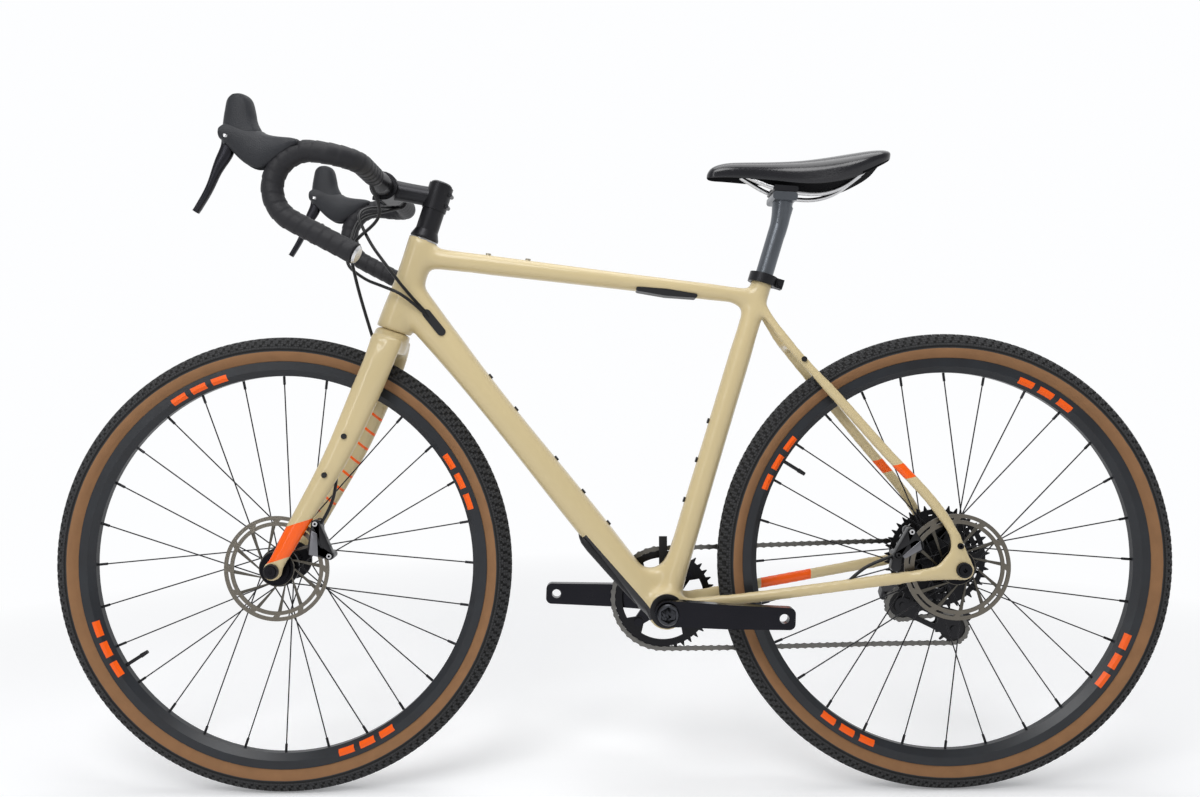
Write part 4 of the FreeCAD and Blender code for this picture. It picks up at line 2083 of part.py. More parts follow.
document.recompute()
bar_ends = [left_tape, mirrored(left_tape), handlebar_solid]
half = S.bar_half_width
front_hoses = [
    routed("front hose", front_hose_shares, bar_centre, half, bar_ends + [fork_solid]),
    routed("front lower hose", front_lower_shares, front_axle, S.rotor_radius,
           [fork_solid, sub_shape("front_caliper")]),
]
keep(feature("front_brake_hose", Part.makeCompound(front_hoses)), "front_brake_hose")
frame_side = bar_ends + [frame_solid] + frame_ports
control_cables = [
    routed("shift cable", shift_cable_shares, bar_centre, half, frame_side),
    routed("rear hose", rear_hose_shares, bar_centre, half, frame_side),
    routed("rear lower hose", rear_lower_shares, rear_axle, S.rotor_radius,
           [frame_solid, sub_shape("rear_caliper")]),
]
keep(feature("control_cables", Part.makeCompound(control_cables)), "control_cables")


# Checked and written as one file for each sub-part

document.recompute()
for item in document.Objects:
    if "Invalid" in item.State or "Error" in item.State:
        raise RuntimeError("%s was not built: %s" % (item.Label, item.State))
os.makedirs("parts", exist_ok=True)
for item in sub_parts:
    if item.Shape.isNull() or not item.Shape.isValid():
        raise RuntimeError("%s has no valid shape" % item.Label)
    item.Shape.exportStep("parts/%s.step" % item.Label)
print(len(sub_parts), "sub-parts written")
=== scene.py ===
import math

import bmesh
import bpy
from mathutils import Matrix, Vector


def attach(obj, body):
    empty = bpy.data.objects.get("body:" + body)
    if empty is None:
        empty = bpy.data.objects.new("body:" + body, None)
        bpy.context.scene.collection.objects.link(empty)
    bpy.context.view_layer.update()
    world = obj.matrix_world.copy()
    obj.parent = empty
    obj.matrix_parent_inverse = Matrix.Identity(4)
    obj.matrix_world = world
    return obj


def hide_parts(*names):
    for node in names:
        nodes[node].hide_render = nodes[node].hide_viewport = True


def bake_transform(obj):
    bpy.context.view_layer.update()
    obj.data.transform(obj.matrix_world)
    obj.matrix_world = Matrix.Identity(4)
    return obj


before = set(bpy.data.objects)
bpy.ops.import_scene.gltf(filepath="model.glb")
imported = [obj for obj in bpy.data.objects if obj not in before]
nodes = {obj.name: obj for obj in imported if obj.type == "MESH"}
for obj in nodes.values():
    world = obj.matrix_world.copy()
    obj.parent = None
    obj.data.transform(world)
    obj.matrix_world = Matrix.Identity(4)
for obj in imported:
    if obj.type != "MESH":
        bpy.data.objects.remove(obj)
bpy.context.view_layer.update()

# Places, lengths and angles on the bike
FRONT_AXLE = Vector((0.514, 0, 0.354))
REAR_AXLE = Vector((-0.514, 0, 0.354))
BAR_CENTRE = Vector((0.3533, 0, 0.939))
CRANK_AXLE = Vector((-0.0785, 0, 0.287))
ACROSS = Vector((0, 1, 0))
HALF_BAR = 0.191
ROTOR = 0.08
STEER_ANGLE = math.radians(71.5)
SEAT_ANGLE = math.radians(73)
FORK_OFFSET = 0.047
QUARTER = math.pi / 2

# Guard under the down tube: its upper end, its way down the tube and the way into the tube
GUARD_TOP = Vector((0.0533, 0, 0.3974))
GUARD_WAY = Vector((-0.662, 0, -0.749))
GUARD_IN = Vector((-0.749, 0, 0.662))

# Colours of the finishes, as linear values
SAND = (0.6, 0.49, 0.275)
ORANGE = (0.92, 0.11, 0.0)
TREAD = (0.017, 0.017, 0.018)
TREAD_DUST = (0.035, 0.036, 0.038)
SIDEWALL = (0.29, 0.144, 0.06)
BLACK = (0.011, 0.011, 0.013)
RIM_SHINE = (0.02, 0.024, 0.03)
ROTOR_ARMS = ((0.07, 0.064, 0.054), (0.115, 0.106, 0.09))
ROTOR_TRACK = ((0.125, 0.113, 0.094), (0.19, 0.172, 0.146))
DARK_BOLT = (0.035, 0.035, 0.037)
BRIGHT_BOLT = (0.45, 0.41, 0.33)
STUDIO_WHITE = (0.985, 0.99, 1, 1)


# Node building

# Sockets of a mix node that carry colours
MIX_FIRST, MIX_SECOND, MIX_RESULT = 6, 7, 2


def feed(tree, socket, source):
    if isinstance(source, bpy.types.NodeSocket):
        tree.links.new(source, socket)
    else:
        socket.default_value = source


def put(tree, kind, inputs=None, **settings):
    node = tree.nodes.new(kind)
    for name, setting in settings.items():
        setattr(node, name, setting)
    for name, source in (inputs or {}).items():
        feed(tree, node.inputs[name], source)
    return node


def calc(tree, operation, first, second=0.0, third=0.0):
    node = put(tree, "ShaderNodeMath", {0: first, 1: second, 2: third}, operation=operation)
    return node.outputs[0]


def between(tree, source, low, high):
    """1 where a value lies between two limits, else 0."""
    above = calc(tree, "GREATER_THAN", source, low)
    return calc(tree, "MULTIPLY", above, calc(tree, "LESS_THAN", source, high))


def joined(tree, operation, masks):
    total = masks[0]
    for mask in masks[1:]:
        total = calc(tree, operation, total, mask)
    return total


def both(tree, *masks):
    return joined(tree, "MULTIPLY", masks)


def either(tree, *masks):
    return joined(tree, "MAXIMUM", masks)


def hypotenuse(tree, first, second):
    square = calc(tree, "MULTIPLY_ADD", first, first, calc(tree, "MULTIPLY", second, second))
    return calc(tree, "SQRT", square)


def opaque(colour):
    return colour if isinstance(colour, bpy.types.NodeSocket) else (*colour, 1)


def shaded(colour, share):
    return tuple(part * share for part in colour)


def mixed(tree, share, first, second):
    node = put(tree, "ShaderNodeMix", data_type="RGBA")
    feed(tree, node.inputs["Factor"], share)
    feed(tree, node.inputs[MIX_FIRST], opaque(first))
    feed(tree, node.inputs[MIX_SECOND], opaque(second))
    return node.outputs[MIX_RESULT]


def place(tree):
    return put(tree, "ShaderNodeTexCoord").outputs["Object"]


def axes(tree, vector):
    return put(tree, "ShaderNodeSeparateXYZ", {0: vector}).outputs


def from_point(tree, point):
    """Distance ahead of a point, across the bike, and above the point."""
    x, y, z = axes(tree, place(tree))
    return calc(tree, "SUBTRACT", x, point.x), y, calc(tree, "SUBTRACT", z, point.z)


def noise(tree, vector, scale, detail=3.0):
    node = put(tree, "ShaderNodeTexNoise", {"Vector": vector, "Scale": scale, "Detail": detail})
    return node.outputs["Fac"]


def ramp(tree, source, low, high):
    """Stretches a value from one range to 0 and 1."""
    node = put(tree, "ShaderNodeMapRange", {"Value": source, "From Min": low, "From Max": high})
    return node.outputs[0]


def bumped(tree, shader, height, distance, strength):
    inputs = {"Height": height, "Distance": distance, "Strength": strength}
    bump = put(tree, "ShaderNodeBump", inputs)
    tree.links.new(bump.outputs[0], shader.inputs["Normal"])


def grained(tree, shader, scale, detail, distance, strength):
    bumped(tree, shader, noise(tree, place(tree), scale, detail), distance, strength)


def new_finish(name, colour, roughness, metallic=0.0, shine=0.5):
    material = bpy.data.materials.new(name)
    material.use_nodes = True
    tree = material.node_tree
    shader = tree.nodes["Principled BSDF"]
    shader.inputs["Base Color"].default_value = (*colour, 1)
    shader.inputs["Roughness"].default_value = roughness
    shader.inputs["Metallic"].default_value = metallic
    shader.inputs["Specular IOR Level"].default_value = shine
    return material, tree, shader


def coated(shader, weight, roughness):
    shader.inputs["Coat Weight"].default_value = weight
    shader.inputs["Coat Roughness"].default_value = roughness


def worn(tree, shader, colour, roughness, scale, depth=0.25, spread=0.16):
    """Slight mottling of colour and roughness, as handling leaves it."""
    cloud = noise(tree, place(tree), scale)
    feed(tree, shader.inputs["Base Color"], mixed(tree, cloud, shaded(colour, 1 - depth), colour))
    rough = calc(tree, "MULTIPLY_ADD", cloud, spread, roughness - spread / 2)
    feed(tree, shader.inputs["Roughness"], rough)
    return cloud


# Finishes

# Orange bands on the stays: a slanted band, its reach along X, and the limits along X, Y and Z
STAY_SLANT = 0.25
STAY_BAND = (0.378, 0.402)
STAY_REACH = (-0.475, -0.405)
CHAIN_STAY_BAND = ((-0.318, -0.236), (-0.09, -0.02), (0.295, 0.345))

# Orange block on the left fork leg, and the lines inside the right one
BLOCK_SLANT = 0.305
BLOCK_BAND = (0.5242, 0.5706)
BLOCK_SIDE = 0.03
LINE_SLANT = -0.9
LINE_PITCH = 0.034
LINE_SHARE = 0.16
LINE_SIDE = (-0.049, -0.02)
LINE_HEIGHT = (0.43, 0.64)

# Part of the down tube that is black under its guard
GUARD_COVER_DEPTH = 0.009
GUARD_COVER = (0.004, 0.165)

# Orange bars on the rims: four places, with three bars in each
BAR_PLACE = 90.0
BAR_PITCH = 6.5
BAR_SHARE = 0.72
BARS_END = 18.4
BAR_RADII = (0.2985, 0.3085)

# Rings of a rotor
TRACK_INNER = 0.065
CARRIER_OUTER = 0.026

# Tyre: middle of its section, the tread in degrees from the crown, and the blocks
TYRE_MIDDLE = 0.3332
TREAD_EDGE = 84.0
TREAD_STRIP = 10.5
TREAD_STEPS = 520
TREAD_FLOOR = 0.0189
TREAD_HEIGHT = 0.0018
WALL_TOP = 0.3318
WALL_RAGGED = 0.0012
GROOVE_SHARE = 0.6
THREAD_PACE = 40.0
THREAD_HEIGHT = 0.2
GRIT_HEIGHT = 0.6

# Height above which the bolts of the top tube lie
TOP_TUBE = 0.76

# Leather's grain: the cells' flat tops and the swell between them
CELL_TOP = 0.2
SWELL = 0.4


def sand_paint(name, orange_mask, black_mask=None):
    """Gloss paint with plain orange bands, and black where a guard covers it."""
    material, tree, shader = new_finish(name, SAND, roughness=0.3, shine=0.2)
    cloud = noise(tree, place(tree), scale=9)
    sand = mixed(tree, cloud, shaded(SAND, 0.95), SAND)
    banded = mixed(tree, orange_mask(tree), sand, ORANGE)
    if black_mask:
        banded = mixed(tree, black_mask(tree), banded, BLACK)
    feed(tree, shader.inputs["Base Color"], banded)
    coated(shader, weight=0.45, roughness=0.08)
    return material


def frame_bands(tree):
    """Bands on both seat stays and on the inner side of the right chain stay."""
    x, y, z = axes(tree, place(tree))
    slope = calc(tree, "MULTIPLY_ADD", x, STAY_SLANT, z)
    stays = both(tree, between(tree, slope, *STAY_BAND), between(tree, x, *STAY_REACH))
    limits = zip((x, y, z), CHAIN_STAY_BAND)
    right_stay = both(tree, *[between(tree, axis, *limit) for axis, limit in limits])
    return either(tree, stays, right_stay)


def tube_guard(tree):
    """Guard along the underside of the down tube, near the crank."""
    ahead, _, above = from_point(tree, GUARD_TOP)
    inward, along = [
        calc(tree, "MULTIPLY_ADD", ahead, way.x, calc(tree, "MULTIPLY", above, way.z))
        for way in (GUARD_IN, GUARD_WAY)
    ]
    below = calc(tree, "LESS_THAN", inward, GUARD_COVER_DEPTH)
    return both(tree, below, between(tree, along, *GUARD_COVER))


def fork_bands(tree):
    """Block on the left leg and slanted lines inside the right leg."""
    x, y, z = axes(tree, place(tree))
    slope = calc(tree, "MULTIPLY_ADD", x, BLOCK_SLANT, z)
    left = calc(tree, "GREATER_THAN", y, BLOCK_SIDE)
    block = both(tree, between(tree, slope, *BLOCK_BAND), left)
    rise = calc(tree, "MULTIPLY_ADD", x, LINE_SLANT, z)
    turns = calc(tree, "FRACT", calc(tree, "DIVIDE", rise, LINE_PITCH))
    lines = calc(tree, "LESS_THAN", turns, LINE_SHARE)
    inside = both(tree, lines, between(tree, y, *LINE_SIDE), between(tree, z, *LINE_HEIGHT))
    return either(tree, block, inside)


def around(tree, axle):
    """Distance from a wheel's axle, angle around it in degrees and place across the wheel."""
    ahead, across, above = from_point(tree, axle)
    angle = calc(tree, "DEGREES", calc(tree, "ARCTAN2", above, ahead))
    return hypotenuse(tree, ahead, above), angle, across


def tyre_rubber(name, axle):
    """Fine gravel tread over bare brown sidewalls, with painted shade darkening the grooves between
    the blocks.
    """
    material, tree, shader = new_finish(name, TREAD, roughness=0.8)
    radius, angle, across = around(tree, axle)
    cloud = noise(tree, place(tree), scale=45, detail=4.0)
    edge = calc(tree, "MULTIPLY_ADD", cloud, WALL_RAGGED, radius)
    side = calc(tree, "LESS_THAN", edge, WALL_TOP)
    wall = mixed(tree, cloud, shaded(SIDEWALL, 0.72), SIDEWALL)
    section = hypotenuse(tree, calc(tree, "SUBTRACT", radius, TYRE_MIDDLE), across)
    # The tread between the raised blocks is painted far darker than the blocks: painted shade in
    # the grooves.
    groove_shade = calc(tree, "LESS_THAN", section, TREAD_FLOOR + GROOVE_SHARE * TREAD_HEIGHT)
    dusty = mixed(tree, cloud, TREAD, TREAD_DUST)
    tread = mixed(tree, groove_shade, dusty, shaded(TREAD, 0.15))
    feed(tree, shader.inputs["Base Color"], mixed(tree, side, tread, wall))
    threads = calc(tree, "SINE", calc(tree, "MULTIPLY", angle, THREAD_PACE))
    cords = calc(tree, "MULTIPLY", calc(tree, "MULTIPLY", threads, THREAD_HEIGHT), side)
    speckle = noise(tree, place(tree), scale=1200, detail=2.0)
    grit = calc(tree, "MULTIPLY", speckle, GRIT_HEIGHT)
    bumped(tree, shader, calc(tree, "ADD", grit, cords), distance=0.0006, strength=0.5)
    return material


def rim_alloy(name, axle, first_bar):
    """Black rim with plain orange bars in four places."""
    material, tree, shader = new_finish(name, BLACK, roughness=0.34, shine=0.35)
    radius, angle, _ = around(tree, axle)
    turned = calc(tree, "SUBTRACT", angle, first_bar)
    turned = calc(tree, "FLOORED_MODULO", turned, BAR_PLACE)
    step = calc(tree, "FRACT", calc(tree, "DIVIDE", turned, BAR_PITCH))
    bars = both(tree, calc(tree, "LESS_THAN", step, BAR_SHARE),
                calc(tree, "LESS_THAN", turned, BARS_END), between(tree, radius, *BAR_RADII))
    black = mixed(tree, noise(tree, place(tree), scale=30), BLACK, RIM_SHINE)
    feed(tree, shader.inputs["Base Color"], mixed(tree, bars, black, ORANGE))
    grained(tree, shader, scale=800, detail=1.0, distance=0.0002, strength=0.2)
    return material


def metal(name, colour, roughness, marks=60, grain=500, metallic=1.0):
    """Metal with faint handling marks and a fine grain."""
    material, tree, shader = new_finish(name, colour, roughness, metallic)
    worn(tree, shader, colour, roughness, marks)
    grained(tree, shader, grain, detail=2.0, distance=0.0002, strength=0.15)
    return material


def rotor_steel(name, axle):
    """Steel turned in rings, darker on the carrier."""
    material, tree, shader = new_finish(name, (0.2, 0.18, 0.15), roughness=0.34, metallic=1.0)
    radius = around(tree, axle)[0]
    spot = put(tree, "ShaderNodeCombineXYZ", {0: radius}).outputs[0]
    rings = noise(tree, spot, scale=2500, detail=2.0)
    track = calc(tree, "GREATER_THAN", radius, TRACK_INNER)
    carrier = calc(tree, "LESS_THAN", radius, CARRIER_OUTER)
    inner, outer = [mixed(tree, rings, *tones) for tones in (ROTOR_ARMS, ROTOR_TRACK)]
    steel = mixed(tree, track, inner, outer)
    feed(tree, shader.inputs["Base Color"], mixed(tree, carrier, steel, BLACK))
    bumped(tree, shader, rings, distance=0.0003, strength=0.3)
    return material


def boss_bolts(name):
    """Dark bolts, and bright ones on the top tube."""
    material, tree, shader = new_finish(name, DARK_BOLT, roughness=0.35, metallic=0.8)
    high = calc(tree, "GREATER_THAN", axes(tree, place(tree))["Z"], TOP_TUBE)
    cloud = noise(tree, place(tree), scale=60)
    black = mixed(tree, cloud, shaded(DARK_BOLT, 0.7), DARK_BOLT)
    feed(tree, shader.inputs["Base Color"], mixed(tree, high, black, BRIGHT_BOLT))
    grained(tree, shader, scale=500, detail=2.0, distance=0.0002, strength=0.15)
    return material


def rubber(name, colour, roughness, scale, height):
    """Moulded rubber with a fine raised texture."""
    material, tree, shader = new_finish(name, colour, roughness, shine=0.3)
    cells = put(tree, "ShaderNodeTexVoronoi", {"Vector": place(tree), "Scale": scale})
    cloud = noise(tree, place(tree), scale=35)
    feed(tree, shader.inputs["Base Color"], mixed(tree, cloud, colour, shaded(colour, 1.7)))
    bumped(tree, shader, cells.outputs["Distance"], height, strength=0.5)
    return material


def plastic(name, colour, roughness, shine=0.3):
    """Moulded plastic with a spark-eroded grain."""
    material, tree, shader = new_finish(name, colour, roughness, shine=shine)
    worn(tree, shader, colour, roughness, scale=40)
    grained(tree, shader, scale=1400, detail=2.0, distance=0.00025, strength=0.3)
    return material


def leather(name):
    """Smooth black cover with a fine grain and a soft sheen."""
    roughness = 0.22
    material, tree, shader = new_finish(name, (0.005, 0.005, 0.008), roughness, shine=0.3)
    coated(shader, weight=0.4, roughness=0.16)
    cells = put(tree, "ShaderNodeTexVoronoi", {"Vector": place(tree), "Scale": 900.0},
                feature="DISTANCE_TO_EDGE")
    cloud = worn(tree, shader, (0.006, 0.006, 0.009), roughness, scale=22)
    tops = calc(tree, "MINIMUM", cells.outputs["Distance"], CELL_TOP)
    creases = calc(tree, "MULTIPLY_ADD", cloud, SWELL, tops)
    bumped(tree, shader, creases, distance=0.0005, strength=0.2)
    return material


# Pieces of metal, with the name, colour and roughness of their finish, and where they aren't the
# usual ones, the scales of its marks and grain and its share of metal
metal_pieces = (
    (("front_spokes", "rear_spokes"), "spoke_steel", (0.032, 0.032, 0.035), 0.4),
    (("cassette", "chainring"), "cog_steel", (0.022, 0.022, 0.024), 0.32, 120),
    (("left_crank_arm", "right_crank_arm", "crank_bolts"), "crank_alloy", (0.02, 0.02, 0.024),
     0.24, 25),
    (("headset_spacers", "seat_clamp", "bottom_bracket_cups", "front_thru_axle", "rear_thru_axle",
      "front_hub", "rear_hub", "front_valve", "rear_valve", "freehub_body", "derailleur_cage",
      "derailleur_inner_link", "derailleur_outer_link", "derailleur_knuckle", "derailleur_mount",
      "derailleur_hanger", "stem", "stem_faceplate", "stem_bolts", "handlebar", "seatpost_clamp"),
     "black_alloy", (0.017, 0.017, 0.02), 0.36, 30, 700, 0.6),
    (("seatpost",), "post_alloy", (0.135, 0.147, 0.165), 0.3, 20, 900, 0.8),
    (("left_brake_lever", "right_brake_lever", "shift_paddle"), "lever_alloy",
     (0.035, 0.035, 0.041), 0.32),
    (("headset_bearings",), "bolt_steel", (0.42, 0.42, 0.43), 0.3),
    (("bar_end_plugs",), "plug_alloy", (0.72, 0.72, 0.73), 0.22),
    (("saddle_rails",), "rail_steel", (0.66, 0.66, 0.67), 0.24),
)


def dress(names, material):
    for name in names:
        node = nodes[name]
        node.data.materials.clear()
        node.data.materials.append(material)


def dress_bike():
    for end, axle, first_bar in (("front", FRONT_AXLE, 56), ("rear", REAR_AXLE, 22)):
        dress([end + "_rim"], rim_alloy(end + "_rim_alloy", axle, first_bar))
        dress([end + "_rotor"], rotor_steel(end + "_rotor_steel", axle))
    for pieces, *finish in metal_pieces:
        dress(pieces, metal(*finish))
    dress(["frame_bolts", "fork_bolts"], boss_bolts("boss_bolt_steel"))
    hood = rubber("hood_rubber", (0.013, 0.014, 0.017), roughness=0.46, scale=900, height=0.0005)
    dress(["left_lever_hood", "right_lever_hood"], hood)
    dress(["guide_pulley", "tension_pulley", "frame_ports", "chain_guide"],
          plastic("black_plastic", (0.012, 0.012, 0.014), roughness=0.45))


# Making of pieces

def linked(name, data):
    item = bpy.data.objects.new(name, data)
    bpy.context.scene.collection.objects.link(item)
    return item


def shade(data, smooth=True):
    for face in data.polygons:
        face.use_smooth = smooth


def finished(name, mesh, *materials):
    data = bpy.data.meshes.new(name)
    mesh.to_mesh(data)
    mesh.free()
    shade(data)
    for material in materials:
        data.materials.append(material)
    return linked(name, data)


def new_verts(grown):
    return [item for item in grown["geom"] if isinstance(item, bmesh.types.BMVert)]


def edges_among(grown, verts):
    return [item for item in grown["geom"] if isinstance(item, bmesh.types.BMEdge)
            and item.verts[0] in verts and item.verts[1] in verts]


def relaxed(mesh, verts, factor=0.5):
    """Moves points towards their neighbours' middle, or away from it."""
    bmesh.ops.smooth_vert(mesh, verts=verts, factor=factor, use_axis_x=True, use_axis_y=True,
                          use_axis_z=True)


def skinned(name, rings, *materials):
    """Closed mesh drawn through rings of points by extruding one ring after another."""
    mesh = bmesh.new()
    loop = bmesh.ops.create_circle(mesh, segments=len(rings[0]), radius=1.0)["verts"]
    first = edges = list(mesh.edges)
    for vert, point in zip(loop, rings[0]):
        vert.co = point
    for ring in rings[1:]:
        grown = bmesh.ops.extrude_edge_only(mesh, edges=edges)
        after = new_verts(grown)
        edges = edges_among(grown, after)
        partner = {}
        for vert in after:
            for edge in vert.link_edges:
                other = edge.other_vert(vert)
                if other in loop:
                    partner[other] = vert
        loop = [partner[vert] for vert in loop]
        for vert, point in zip(loop, ring):
            vert.co = point
    bmesh.ops.holes_fill(mesh, edges=first, sides=0)
    bmesh.ops.holes_fill(mesh, edges=edges, sides=0)
    bmesh.ops.recalc_face_normals(mesh, faces=mesh.faces)
    return finished(name, mesh, *materials)


# Bar tape

BAR_BEND = 0.046
BAR_TILT = math.radians(8)
BAR_RAMP = 0.008
BAR_HOOK = 0.050
HOOK_TURN = math.radians(160)
BAR_DROP = 0.098
TAPE_START = 0.082
TAPE_END_GAP = 0.0005
TAPE_RADIUS = 0.0152
TAPE_LAP = 0.0009
TAPE_PITCH = 0.0155
TAPE_STEP = 0.0016
TAPE_SIDES = 28
TAPE_CURVE = 1.5


def bar_route(side):
    """Points along the taped bar, from its top to the end of the drop, with directions."""
    out = Vector((0, side, 0))
    ahead = Vector((math.cos(BAR_TILT), 0, math.sin(BAR_TILT)))
    above = Vector((-math.sin(BAR_TILT), 0, math.cos(BAR_TILT)))
    legs = []

    def line(origin, along, length):
        count = max(2, int(length / TAPE_STEP))
        legs.extend((origin + along * (length * step / count), along) for step in range(count))
        return origin + along * length

    def arc(origin, along, inward, radius, turn):
        centre = origin + inward * radius

        def spot(angle):
            ray = along * (radius * math.sin(angle))
            return (centre - inward * (radius * math.cos(angle)) + ray,
                    along * math.cos(angle) + inward * math.sin(angle))

        count = int(radius * turn / TAPE_STEP)
        legs.extend(spot(turn * step / count) for step in range(count))
        return spot(turn)

    line(BAR_CENTRE + out * TAPE_START, out, HALF_BAR - BAR_BEND - TAPE_START)
    corner = BAR_CENTRE + out * (HALF_BAR - BAR_BEND)
    here = arc(corner, out, ahead, BAR_BEND, QUARTER)[0]
    here = line(here, ahead, BAR_RAMP)
    here, along = arc(here, ahead, -above, BAR_HOOK, HOOK_TURN)
    line(here, along, BAR_DROP - TAPE_END_GAP)
    return legs


def bar_tape(name, side, material):
    """Tape wound round the bar, each turn lapping the one before."""
    route = bar_route(side)
    upward = Vector((0, 0, 1))
    rings = []
    travelled = 0.0
    before = route[0][0]
    for point, along in route:
        travelled += (point - before).length
        before = point
        upward = (upward - along * upward.dot(along)).normalized()
        across = along.cross(upward)
        ring = []
        for step in range(TAPE_SIDES):
            angle = math.tau * step / TAPE_SIDES
            turns = travelled / TAPE_PITCH + side * step / TAPE_SIDES
            lap = turns - math.floor(turns)
            radius = TAPE_RADIUS - TAPE_LAP * (1 - lap) ** TAPE_CURVE
            ring.append(point + (upward * math.cos(angle) + across * math.sin(angle)) * radius)
        rings.append(ring)
    piece = skinned(name, rings, material)
    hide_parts("bar_tape")
    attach(piece, "fork")


# Tyres

# Wall and lining of a tyre's section: degrees from the crown, distance from the section's middle
tyre_wall = (
    (153.3, 0.0243), (141, 0.0206), (128, 0.0206), (115, 0.0205), (103, 0.0204), (93, 0.0202),
)
lining_degrees = (-141, -95, -48, 0, 48, 95, 141)
LINING_REACH = 0.0175
BLOCK_SLACK = 0.0006
BLOCK_TAPER = 0.0003
STRIPS_IN_STEP = 2
GROOVE_EVERY = 3


def tyre_section():
    """Closed section of a tyre, in the wall's measures."""
    strips = int(2 * TREAD_EDGE / TREAD_STRIP)
    tread = [(TREAD_EDGE - TREAD_STRIP * strip, TREAD_FLOOR) for strip in range(strips + 1)]
    far_wall = [(-degrees, reach) for degrees, reach in reversed(tyre_wall)]
    lining = [(degrees, LINING_REACH) for degrees in lining_degrees]
    return [*tyre_wall, *tread, *far_wall, *lining]


def is_block(face, axle):
    """True for the faces of the tread that stand up as rubber blocks."""
    centre = face.calc_center_median() - axle
    reach = math.hypot(centre.x, centre.z) - TYRE_MIDDLE
    degrees = math.degrees(math.atan2(centre.y, reach))
    inside = math.hypot(reach, centre.y) < TREAD_FLOOR - BLOCK_SLACK
    if abs(degrees) > TREAD_EDGE or inside:
        return False
    if abs(degrees) > TREAD_EDGE - TREAD_STRIP:
        return True
    strip = int((degrees + TREAD_EDGE) // TREAD_STRIP)
    step = int((math.atan2(centre.z, centre.x) % math.tau) / math.tau * TREAD_STEPS)
    return (step + strip // STRIPS_IN_STEP) % GROOVE_EVERY > 0


def tyre(name, node, axle, body):
    """Tyre turned about its axle, with small raised blocks on its tread."""
    mesh = bmesh.new()
    ring = []
    for degrees, reach in tyre_section():
        turn = math.radians(degrees)
        spot = Vector((0, reach * math.sin(turn), TYRE_MIDDLE + reach * math.cos(turn)))
        ring.append(mesh.verts.new(axle + spot))
    edges = [mesh.edges.new((ring[index - 1], ring[index])) for index in range(len(ring))]
    bmesh.ops.spin(mesh, geom=ring + edges, cent=axle, axis=(0, 1, 0), angle=math.tau,
                   steps=TREAD_STEPS, use_merge=True)
    bmesh.ops.remove_doubles(mesh, verts=mesh.verts, dist=1e-6)
    bmesh.ops.recalc_face_normals(mesh, faces=mesh.faces)
    blocks = [face for face in mesh.faces if is_block(face, axle)]
    bmesh.ops.inset_individual(mesh, faces=blocks, thickness=BLOCK_TAPER, depth=TREAD_HEIGHT)
    piece = finished(name, mesh, tyre_rubber(name + "_rubber", axle))
    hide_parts(node)
    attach(piece, body)


# Painted frame and fork

VOXEL = 0.0024
EVEN_PASSES = (0.5, -0.53) * 26 + (0.5, 0.5)
CORNER_SHARES = (1.0, 0.9, 0.8, 0.7)
SHEEN_PASSES = 30

# Corners where tubes run together: middle, reach and passes of smoothing
frame_corners = (
    ((-0.066, 0, 0.335), 0.1, 9), ((-0.15, 0, 0.3), 0.075, 6), ((0.275, 0, 0.79), 0.085, 9),
    ((-0.222, 0, 0.752), 0.075, 7), ((-0.3, 0, 0.668), 0.06, 6),
    ((-0.475, 0.075, 0.368), 0.062, 7), ((-0.475, -0.075, 0.368), 0.062, 7),
)
fork_corners = (
    ((0.375, 0, 0.69), 0.075, 5), ((0.512, 0.057, 0.37), 0.03, 3), ((0.512, -0.057, 0.37), 0.03, 3),
)


def near_line(point, line):
    start, along, reach, low, high = line
    offset = point - start
    height = offset.dot(along)
    return low < height < high and (offset - along * height).length < reach


def blended(name, node, body, bores, corners, material):
    """Copy of a tube cluster, bores closed, evened out and smoothed where tubes run together."""
    mesh = bmesh.new()
    mesh.from_mesh(nodes[node].data)
    bmesh.ops.remove_doubles(mesh, verts=mesh.verts, dist=1e-5)
    inside = [face for face in mesh.faces if any(
        all(near_line(vert.co, bore) for vert in face.verts) for bore in bores)]
    bmesh.ops.delete(mesh, geom=inside, context="FACES")
    rims = [edge for edge in mesh.edges if edge.is_boundary]
    bmesh.ops.holes_fill(mesh, edges=rims, sides=0)
    bmesh.ops.triangulate(mesh, faces=mesh.faces)
    piece = finished(name, mesh)
    evened = piece.modifiers.new("evened", "REMESH")
    evened.mode = "VOXEL"
    evened.voxel_size = VOXEL
    graph = bpy.context.evaluated_depsgraph_get()
    even = bpy.data.meshes.new_from_object(piece.evaluated_get(graph))
    piece.modifiers.clear()
    piece.data = even
    mesh = bmesh.new()
    mesh.from_mesh(even)
    for factor in EVEN_PASSES:
        relaxed(mesh, mesh.verts, factor)
    for centre, reach, passes in corners:
        middle = Vector(centre)
        for share in CORNER_SHARES:
            soft = [vert for vert in mesh.verts if (vert.co - middle).length < reach * share]
            for step in range(passes):
                relaxed(mesh, soft)
    mesh.to_mesh(even)
    for step in range(SHEEN_PASSES):
        relaxed(mesh, mesh.verts)
    mesh.normal_update()
    sheen = [vert.normal.copy() for vert in mesh.verts]
    mesh.free()
    even.materials.clear()
    even.materials.append(material)
    shade(even)
    even.normals_split_custom_set_from_vertices(sheen)
    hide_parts(node)
    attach(piece, body)


